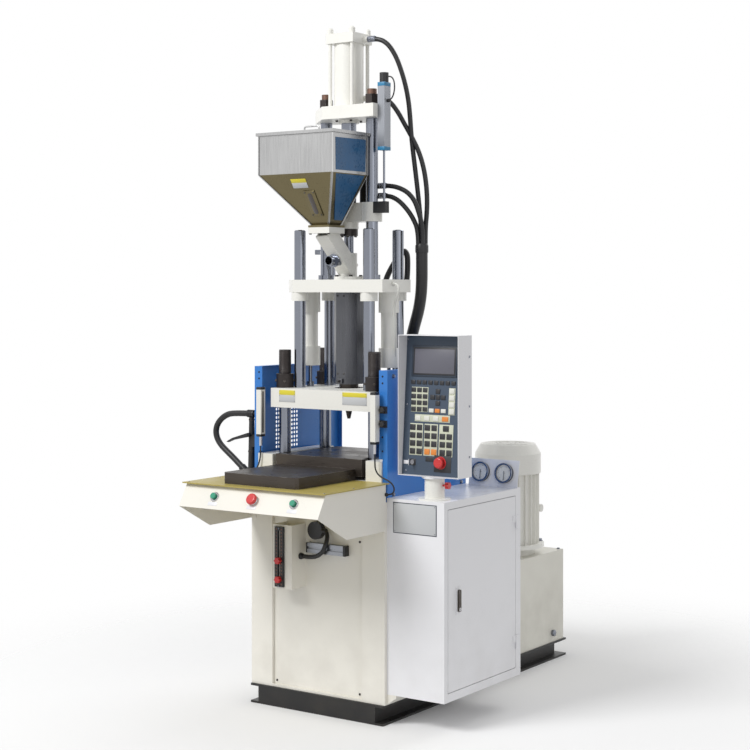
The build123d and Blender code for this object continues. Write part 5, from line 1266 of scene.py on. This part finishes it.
@dataclass
class InjectionDetails:
    """Finishes, bolts and cables of the injection unit above the platen."""
    hardware: Hardware
    drain_x: float = -3.7
    drain_z: float = 1652.0
    ram_radius: float = 28.5
    yoke_top: float = 1867.0
    nut_low: float = 2226.0
    nut_high: float = 2266.0
    transducer_route: Sequence[Point] = ((204, -44, 2324), (218, -44, 2325), (232, -43, 2312),
                                         (236, -42, 2284), (230, -41, 2256), (218, -40, 2240),
                                         (204, -40, 2236))
    heater_route: Sequence[Point] = ((62, 126, 1558), (62, 148, 1560), (66, 154, 1592), (90, 155, 1632),
                                     (122, 155, 1674), (146, 155, 1694), (160, 155, 1678), (162, 154, 1640),
                                     (160, 154, 1592), (158, 148, 1560), (158, 126, 1558))
    seat_route: Sequence[Point] = ((238, -62, 1566), (256, -62, 1568), (270, -64, 1552), (262, -66, 1520),
                                   (246, -62, 1486), (240, -50, 1440), (232, -36, 1386), (222, -18, 1336),
                                   (215, -8, 1300))
    transducer_radius: float = 2.6
    heater_radius: float = 11.0
    seat_radius: float = 4.0

    def build(self) -> None:
        """Makes the details of the injection unit."""
        self._paint()
        self._bolts()
        self._cables()
        self._shield_band()

    def _paint(self) -> None:
        """Second finishes of castings that are one file with a steel or dark piece."""
        paint_faces("injection_rods", BLACK_OXIDE, lambda x, y, z: self.nut_low - 1 < z < self.nut_high + 0.5)
        paint_faces("injection_rods", ROD_END, lambda x, y, z: z > self.nut_high + 0.6)
        paint_faces("injection_crosshead", GROUND_STEEL,
                    lambda x, y, z: z > self.yoke_top + 1 and math.hypot(x, y) < self.ram_radius)
        paint_faces("injection_crosshead", GROUND_STEEL, lambda x, y, z: z > self.yoke_top + 2 and x > 170)
        paint_faces("injection_crosshead", BLACK_OXIDE, lambda x, y, z: z < 1772.4)
        paint_faces("injection_crosshead", BLACK_PLASTIC, lambda x, y, z: x > 164 and z < self.yoke_top + 2)
        paint_faces("feed_chute", GROUND_STEEL, lambda x, y, z: y < -60 and z < 1690 and math.hypot(
            x - self.drain_x, z - self.drain_z) < (25.6 if -96 < y < -89 else 18.6))
        paint_faces("transducer_body", BLACK_PLASTIC, lambda x, y, z: z >= 2303.6)

    def _bolts(self) -> None:
        """Bolts of the top plate, cylinder cap, throat flange, hopper foot and crosshead."""
        put, eighth = self.hardware.put, math.pi / 4
        put("throat_bolts", Head.HEX, ring_spots(0, 0, 1594, 45, 4, eighth), BLACK_OXIDE, "seat", 15)
        foot = grid_spots((-56, 28), (-165, -81), (1752,), DOWN)
        put("hopper_foot_bolts", Head.HEX, foot, BLACK_OXIDE, "seat", 10)
        put("gland_screws", Head.SOCKET, ring_spots(0, 0, 2178, 46, 4, eighth, DOWN), BLACK_OXIDE, "seat", 10)
        flange = ring_spots(0, 0, 1746, 29, 6, 0, DOWN)
        put("bearing_screws", Head.SOCKET, flange, DARK_STEEL, "injection", 8)
        cap = ring_spots(62, 38, 1867, 36, 4, 2 * eighth)
        put("gear_case_screws", Head.SOCKET, cap, BLACK_OXIDE, "injection", 8)
        ends = grid_spots((175,), (-56, -32), (2202,), RIGHT)
        put("transducer_screws", Head.SOCKET, ends, BLACK_OXIDE, "seat", 7)
        for name, low, high in (("foot", 2054.4, 2068), ("head", 2289, 2303.6)):
            fitted("transducer_cap_" + name, (174.4, -64.6, low), (205.6, -23.4, high), 1, CAP_BLUE, "seat")

    def _cables(self) -> None:
        """Transducer lead, heater conduit and the white lead at the seat plate's end."""
        cable("transducer_lead", self.transducer_route, self.transducer_radius, BLACK_PLASTIC, "seat")
        gland("transducer_gland", (205, -40, 2236), (1, 0, 0.1), self.transducer_radius, 9, "seat")
        cable("heater_conduit", self.heater_route, self.heater_radius, RUBBER, "seat")
        for x in (62, 158):
            gland(f"heater_gland_{x}", (x, 128, 1558), (0, 1, 0), self.heater_radius, 16, "seat")
        cable("seat_lead", self.seat_route, self.seat_radius, CABLE_WHITE, "seat")
        gland("seat_gland", (240, -62, 1566), RIGHT, self.seat_radius, 9, "seat", CABLE_WHITE)

    def _shield_band(self) -> None:
        """Clamp lug on the barrel shield's band, and the shield's corner screws."""
        at = frame_at((0, -0.053, 1.2045), FRONT)
        # The lug takes the shield's darkened steel, a painted shade.
        fitted("band_lug", (-12, -9, 0), (12, 9, 9), 1, SHIELD_SHADED_STEEL, "seat", at)
        self.hardware.put("band_screw", Head.SOCKET, [(at @ mm(0, 0, 9), FRONT)], BLACK_OXIDE, "seat", 10)
        spots = grid_spots((-14, 14), (-52,), (1232, 1522), FRONT)
        self.hardware.put("shield_screws", Head.PAN, spots, BLACK_OXIDE, "seat", 7)


@dataclass
class GuardDetails:
    """Light curtains, their cables, and the guards' fasteners."""
    hardware: Hardware
    bar_low: float = 998.0
    bar_high: float = 1179.0
    cap: float = 9.0
    lead_radius: float = 2.8
    right_route: Sequence[Point] = ((265.5, -213, 963), (265.5, -213, 932), (268, -213, 904),
                                    (286, -213, 884), (314, -210, 874), (336, -208, 862), (346, -206, 842),
                                    (338, -205, 826), (322, -205, 821), (306, -205, 820))
    left_route: Sequence[Point] = ((-262.5, -200, 963), (-262.5, -200, 936), (-264, -203, 908),
                                   (-272, -206, 884), (-284, -203, 868), (-292, -196, 866), (-292, -186, 868))

    def build(self) -> None:
        """Makes the details of the guards."""
        paint_faces("light_curtains", BLACK_PLASTIC, lambda x, y, z: (
            z > self.bar_high - self.cap or self.bar_low - 1 < z < self.bar_low + self.cap))
        paint_faces("light_curtains", CHROME, lambda x, y, z: z < self.bar_low - 1)
        paint_faces("light_curtains", BLACK_PLASTIC, lambda x, y, z: x > 270 and y > -200.5)
        self._bars()
        self._cables()
        self._screws()

    def _bars(self) -> None:
        """Black end caps, clip knobs and the dark lens strip along each bar."""
        for name, x0, x1, y0, y1 in (("left", -273.5, -251.5, -213, -187),
                                     ("right", 254.5, 276.5, -226, -200)):
            for end, z0 in (("top", self.bar_high - 8), ("foot", self.bar_low - 2)):
                low, high = (x0 - 0.6, y0 - 0.6, z0), (x1 + 0.6, y1, z0 + 10)
                fitted(f"curtain_cap_{name}_{end}", low, high, 2, BLACK_PLASTIC, "base")
            inner = x1 if name == "left" else x0
            low, high = (inner - 0.5, y0 + 8, self.bar_low + 14), (inner + 0.5, y1 - 9, self.bar_high - 14)
            fitted(f"curtain_lens_{name}", low, high, 0.2, WINDOW, "base")
        for z in (1118, 1068):
            at = frame_at(mm(291, -200, z), FRONT)
            settle(lathe(f"clip_knob_{z}", [(0, 0), (0.0095, 0), (0.0105, 0.003), (0.0105, 0.010),
                                            (0.008, 0.0125), (0, 0.0125)], at, 24), BLACK_PLASTIC, "base")

    def _cables(self) -> None:
        """Leads of both light curtains."""
        cable("curtain_lead_right", self.right_route, self.lead_radius, BLACK_PLASTIC, "base")
        gland("curtain_gland_right", (307, -205, 820), RIGHT, self.lead_radius, 10, "base")
        cable("curtain_lead_left", self.left_route, self.lead_radius, BLACK_PLASTIC, "base")

    def _screws(self) -> None:
        """Fixing screws down the guards' front flanges and along the outer sides."""
        flange = grid_spots((-281, 281), (-187,), (1236, 1212), FRONT)
        flange += grid_spots((281,), (-187,), (1020, 970), FRONT)
        self.hardware.put("guard_flange_screws", Head.PAN, flange, DARK_GAP, "base", 7)
        sides = [spot for z in (1236, 815) for sx in (-1, 1)
                 for spot in grid_spots((sx * 302,), (-150, 80, 310), (z,), (sx, 0, 0))]
        self.hardware.put("guard_side_screws", Head.HEX, sides, GROUND_STEEL, "base", 13)


@dataclass
class KeyField:
    """A block of equal keys on the control panel, in millimetres across and up."""
    name: str
    xs: Sequence[float]
    zs: Sequence[float]
    wide: float
    tall: float
    finish: Finish


@dataclass
class ControlPanel:
    """Screen, keys and plates on the leaning face of the swivelling panel."""
    hardware: Hardware
    foot_y: float = -148.0
    foot_z: float = 891.0
    head_y: float = -112.0
    head_z: float = 1383.0
    parallax_share: float = 0.35
    measured_y: float = -140.0

    def build(self) -> None:
        """Makes the details of the panel."""
        self.slab("screen_bezel", (370, 559), (1237, 1347), 3.0, SLATE_DARK)
        self.slab("screen_rim", (377, 554), (1243, 1341), 4.0, KEY_BLACK)
        self.slab("screen_glass", (383, 549), (1248, 1335), 4.6, SCREEN_GREY)
        for name, x, z in (("numbers", (370, 440), (1112, 1200)), ("lights", (526, 552), (1106, 1200)),
                           ("states", (386, 532), (1079, 1104)), ("block_left", (366, 420), (960, 1072)),
                           ("block_middle", (426, 482), (960, 1072)),
                           ("block_right", (488, 546), (960, 1072))):
            self.slab("field_" + name, x, z, 0.8, KEY_FIELD)
        for keys in self.key_fields():
            self._keys(keys)
        self.slab("status_window", (434, 466), (940, 956), 1.6, KEY_BLACK)
        self.slab("name_plate", (342, 370), (927, 940), 0.8, PLATE_WHITE)
        self.slab("key_plate", (371, 393), (924, 947), 0.8, KEY_BLACK)
        self.slab("stop_plate", (470, 540), (905, 964), 1.0, KEY_BLACK)
        at = frame_at(self.spot(497.5, 938), self.normal())
        settle(sleeve_round("stop_ring", 0.0165, 0.0225, 0.001, 0.0036, at), RED, "panel")
        self._screws()

    def normal(self) -> Vector:
        """The way that the face looks."""
        return Vector((0, -(self.head_z - self.foot_z), self.head_y - self.foot_y)).normalized()

    def spot(self, x: float, z: float) -> Vector:
        """A place on the face, in metres.

        Args:
            x: Across, measured where the face is at measured_y.
            z: Height.

        Returns:
            The place on the leaning face.
        """
        y = self.foot_y + (z - self.foot_z) * (self.head_y - self.foot_y) / (self.head_z - self.foot_z)
        return mm(x - self.parallax_share * (y - self.measured_y), y, z)

    def slab(self, name: str, x: tuple[float, float], z: tuple[float, float], thick: float,
             finish: Finish) -> None:
        """A flat plate on the face.

        Args:
            name: Its name.
            x, z: Its extents in millimetres.
            thick: How far it stands out.
            finish: Its finish.
        """
        at = frame_at(self.spot(sum(x) / 2, sum(z) / 2), self.normal())
        half_x, half_z = (x[1] - x[0]) / 2, (z[1] - z[0]) / 2
        fitted(name, (-half_x, -half_z, 0), (half_x, half_z, thick), 1.2, finish, "panel", at)

    @staticmethod
    def key_fields() -> list[KeyField]:
        """Every field of keys, with its places and finish."""
        def line(start: float, end: float, count: int) -> list[float]:
            """Evenly spaced places."""
            return [start + (end - start) * i / (count - 1) for i in range(count)]
        rows = line(1058, 974, 4)
        return [
            KeyField("top", line(377, 545, 8), [1217], 17, 14, KEY_BLACK),
            KeyField("numbers", [380, 404, 428], line(1190, 1122, 4), 19, 16, KEY_BLACK),
            KeyField("arrow_sides", [459, 503], [1166], 18, 16, KEY_BLACK),
            KeyField("arrow_ends", [481], [1187, 1166, 1145], 18, 16, KEY_BLACK),
            KeyField("lights", [539], line(1189, 1118, 4), 21, 18, KEY_LIGHT),
            KeyField("mode_sides", [455, 505], [1119], 20, 14, KEY_LIGHT),
            KeyField("mode_middle", [480], [1119], 20, 14, KEY_ORANGE),
            KeyField("states", [400, 437, 474], [1091], 22, 17, KEY_LIGHT),
            KeyField("state_last", [513], [1091], 26, 17, KEY_ORANGE),
            KeyField("left", [379, 407], rows, 22, 20, KEY_BLACK),
            KeyField("middle", [440, 468], rows[:-1], 22, 20, KEY_BLACK),
            KeyField("middle_last", [440, 468], rows[-1:], 22, 20, KEY_ORANGE),
            KeyField("right_head", [517], rows[:1], 24, 20, KEY_BLACK),
            KeyField("right", [503, 531], rows[1:], 22, 20, KEY_BLACK)]

    def _keys(self, keys: KeyField) -> None:
        """One field of keys, as copies of one key cap."""
        at = frame_at((0, 0, 0), UP)
        half_x, half_z = keys.wide / 2 * MM, keys.tall / 2 * MM
        cap = block("key_" + keys.name, (-half_x, -half_z, 0), (half_x, half_z, 0.003), 0.001, at)
        tilt = frame_at((0, 0, 0), self.normal())
        cap.data.transform(tilt)
        spots = [(self.spot(x, z), UP) for x in keys.xs for z in keys.zs]
        self.hardware.repeat("keys_" + keys.name, cap, spots, keys.finish, "panel")

    def _screws(self) -> None:
        """Screws in the face's corners and on the housing's side."""
        spots = [(self.spot(x, z), self.normal()) for x in (352, 572) for z in (903, 1137, 1368)]
        self.hardware.put("face_screws", Head.PAN, spots, GROUND_STEEL, "panel", 7)
        sides = grid_spots((586.5,), (-96,), (960, 1137, 1310), RIGHT)
        self.hardware.put("housing_screws", Head.PAN, sides, GROUND_STEEL, "panel", 8)


@dataclass
class FrontDetails:
    """Bezels, legends, cover screws, the slotted rail's row of holes and the sensor's conduit."""
    hardware: Hardware
    button_xs: Sequence[float] = (-160.0, 14.0, 190.0)
    button_y: float = -583.9
    button_z: float = 818.0
    lean: Point = (0, -0.8662, 0.4997)
    cover_y: float = -192.0
    rail_y: float = -283.0
    conduit_radius: float = 8.0
    conduit_route: Sequence[Point] = ((33, -205, 668), (48, -206, 668), (58, -214, 646), (58, -228, 616),
                                      (44, -232, 590), (16, -232, 576), (-16, -228, 572), (-42, -224, 572),
                                      (-59, -224, 572))

    def build(self) -> None:
        """Makes the details of the machine's front."""
        self._buttons()
        self._cover()
        self._rail()
        self._sensor()
        self._table()

    def _buttons(self) -> None:
        """Chrome bezels, and a blank legend plate below each button."""
        for number, x in enumerate(self.button_xs):
            at = frame_at(mm(x, self.button_y, self.button_z), self.lean)
            inner, high = (0.0125, 0.0045) if number != 1 else (0.0135, 0.0036)
            settle(sleeve_round(f"bezel_{number}", inner, 0.0175, 0, high, at, 0.0015), CHROME, "base")
            fitted(f"legend_{number}", (-20, -33, 0), (20, -19.5, 0.8), 0.3, PLATE_WHITE, "base", at)

    def _cover(self) -> None:
        """Cover screws and the black conduit cap with its loop."""
        spots = grid_spots((-190, 186), (self.cover_y,), (94, 640), FRONT)
        self.hardware.put("cover_screws", Head.PAN, spots, BLACK_OXIDE, "base", 9)
        paint_faces("front_cover", BLACK_PLASTIC, lambda x, y, z: math.hypot(x, z - 668) < 34 and y < -192.4)
        cable("sensor_conduit", self.conduit_route, self.conduit_radius, RUBBER, "base")
        gland("conduit_gland_cap", (30, -205, 668), RIGHT, self.conduit_radius, 16, "base")
        gland("conduit_gland_bracket", (-58, -224, 572), RIGHT, self.conduit_radius, 14, "base")

    def _rail(self) -> None:
        """Bronze bushes along the slotted rail, on both sides of its slot, and its end screws."""
        bush = lathe("bush_pattern", [(0.0012, 0), (0.0032, 0), (0.0032, 0.0008), (0.0012, 0.0008)], UPRIGHT,
                      10)
        heights = [472 + 12.5 * i for i in range(17)]
        spots = grid_spots((-122.5, -99.5), (self.rail_y,), heights, FRONT)
        self.hardware.repeat("rail_bushes", bush, spots, ROD_END, "base")
        ends = grid_spots((-111,), (self.rail_y,), (465.2, 675), FRONT)
        self.hardware.put("rail_screws", Head.SOCKET, ends, GROUND_STEEL, "base", 5.6)

    def _sensor(self) -> None:
        """Dark end caps of the sensor profile."""
        for name, left, right in (("sensor_cap", 128, 139), ("sensor_foot", -38, -31)):
            low, high = (left, -217.6, 585.4), (right, self.cover_y, 622.6)
            fitted(name, low, high, 1.5, BLACK_PLASTIC, "base")

    def _table(self) -> None:
        """Countersunk screws along the work table's edge."""
        spots = grid_spots((-300, 300), (-560, -390, -215), (860,), UP)
        self.hardware.put("table_screws", Head.PAN, spots, GROUND_STEEL, "base", 6)


@dataclass
class CabinetDetails:
    """Blank plate, gauges and lock of the electrical cabinet."""
    hardware: Hardware
    front: float = -190.0
    gauge_xs: Sequence[float] = (381.0, 483.0)
    gauge_z: float = 857.0
    gauge_y: float = 328.0
    gauge_radius: float = 37.0
    well_radius: float = 32.0
    dial_up: float = 4.7
    rim_up: float = 12.0
    lean: float = 10.0
    tick_count: int = 28
    tick_first: float = -135.0
    tick_step: float = 10.0
    ticks_per_long: int = 5
    tick_end_share: float = 0.86

    def build(self) -> None:
        """Makes the details of the cabinet, and dresses the mounting plate and contactors inside it."""
        for finish, near, far in ((PLATE_GREY, 320.0, 327.5), (SLATE_DARK, 327.5, 390.0)):
            paint_faces("cabinet_box", finish, lambda x, y, z, near=near, far=far: (
                near < x < far and -148 < y < 301 and 152 < z < 764))
        low, high = (329, self.front - 0.8, 686), (511, self.front, 795)
        fitted("notice_border", low, high, 0.3, SLATE_DARK, "base")
        plain_plate("notice_plate", (332, 508), (689, 792), self.front - 0.8, 0.7, "base", PLATE_GREY,
                    self.hardware, 4.0)
        for number, x in enumerate(self.gauge_xs):
            self._gauge(number, x)
        at = frame_at((0.5462, -0.1, 0.424), RIGHT, (0, 1, 0))
        settle(sleeve_round("lock_barrel", 0.0022, 0.0065, 0.0, 0.006, at, 0.0006, 24), CHROME, "door")

    def _gauge(self, number: int, x: float) -> None:
        """Dial, ticks, bezel and lens of one pressure gauge.

        Args:
            number: Which gauge it is.
            x: Its place across, in millimetres.
        """
        turn = math.radians(self.lean)
        normal = Vector((0, -math.cos(turn), math.sin(turn)))
        at = frame_at(mm(x, self.gauge_y, self.gauge_z), normal)
        dial, rim, radius = self.dial_up * MM, self.rim_up * MM, self.well_radius * MM
        settle(disc(f"dial_{number}", radius - 0.0005, dial - 0.0006, dial, at, 0.0001), DIAL_WHITE, "base")
        settle(sleeve_round(f"gauge_bezel_{number}", radius - 0.0004, self.gauge_radius * MM + 0.0006,
                            rim - 0.006, rim + 0.002, at, 0.0012), GROUND_STEEL, "base")
        settle(disc(f"gauge_lens_{number}", radius - 0.0004, rim - 0.0012, rim - 0.0002, at, 0.0002), GLASS,
               "base")
        ticks = []
        for step in range(self.tick_count):
            around = math.radians(self.tick_first + step * self.tick_step)
            inner_share, wide = (0.7, 0.0007) if step % self.ticks_per_long == 0 else (0.78, 0.0004)
            inner = radius * inner_share
            long = radius * self.tick_end_share - inner
            way = Vector((math.sin(around), math.cos(around), 0))
            side = Vector((way.y, -way.x, 0))
            tick_at = at @ Matrix.Translation(way * inner + Vector((0, 0, dial)))
            tick_at = frame_at(tick_at.translation, normal, at.to_3x3() @ side)
            ticks.append(block(f"tick_{number}_{step}", (-wide, 0, 0), (wide, long, 0.0002), 0, tick_at))
        settle(joined(f"dial_ticks_{number}", ticks), KEY_BLACK, "base")


@dataclass
class PowerPack:
    """Motor, tank and lubricator details."""
    hardware: Hardware
    motor_x: float = 150.0
    motor_y: float = 930.0
    grille_z: float = 905.2
    grille_first: float = 22.0
    grille_pitch: float = 18.0
    grille_wide: float = 8.0
    grille_rings: int = 5

    def build(self) -> None:
        """Makes the details of the power pack."""
        self._motor()
        self._tank()
        self._lubricator()

    def _motor(self) -> None:
        """Flange bolts, the fan cover's grille and the terminal box screws."""
        spots = ring_spots(self.motor_x, self.motor_y, 495, 137, 4, math.pi / 4)
        self.hardware.put("motor_flange_bolts", Head.HEX, spots, GROUND_STEEL, "base", 22)
        axis = frame_at(mm(self.motor_x, self.motor_y, self.grille_z), UP)
        starts = [self.grille_first + self.grille_pitch * i for i in range(self.grille_rings)]
        rings = [sleeve_round(f"grille_{i}", start * MM, (start + self.grille_wide) * MM, 0, 0.0008, axis,
                              0.0002, 48) for i, start in enumerate(starts)]
        settle(joined("fan_grille", rings), CAST_WHITE, "base")
        lid = grid_spots((self.motor_x - 42, self.motor_x + 42), (1108,), (593, 687), (0, 1, 0))
        self.hardware.put("terminal_screws", Head.PAN, lid, GROUND_STEEL, "base", 7)

    def _tank(self) -> None:
        """Oil level glass, drain plug and cover screws of the tank."""
        at = frame_at((0.295, 0.64, 0.30), RIGHT, (0, 1, 0))
        fitted("level_frame", (-14, -65, 0), (14, 65, 7), 2, CHROME, "base", at)
        fitted("level_glass", (-6, -48, 7), (6, 48, 8.5), 0.5, WINDOW, "base", at)
        at = frame_at((0.295, 1.05, 0.11), RIGHT, (0, 1, 0))
        settle(prism("drain_plug", hexagon(0.014), 0, 0.012, at, 0.001), GROUND_STEEL, "base")
        spots = grid_spots((-280, 0, 280), (560, 1130), (449,), UP)
        self.hardware.put("tank_screws", Head.HEX, spots, GROUND_STEEL, "base", 13)
        paint_faces("oil_tank", CHROME, lambda x, y, z: z > 452 and x < -140)

    def _lubricator(self) -> None:
        """Ring bands on the hand pump."""
        at = frame_at((-0.334, -0.165, 0), UP)
        bands = [sleeve_round(f"pump_band_{i}", 0.0088, r * MM, z * MM, (z + 7) * MM, at, 0.001, 28)
                 for i, (z, r) in enumerate(((824, 16.2), (930, 13.9), (1050, 11.5)))]
        settle(joined("pump_bands", bands), BLACK_OXIDE, "base")


def main() -> None:
    """Builds the studio, dresses the nodes and adds every piece."""
    logging.basicConfig(level=logging.WARNING)
    Studio().build()
    HoseSet().build()
    dress_nodes()
    hardware = Hardware()
    for assembly in (ClampDetails, HopperDetails, InjectionDetails, GuardDetails, ControlPanel, FrontDetails,
                     CabinetDetails, PowerPack):
        assembly(hardware).build()
    hardware.clear()


if __name__ == "__main__":
    main()
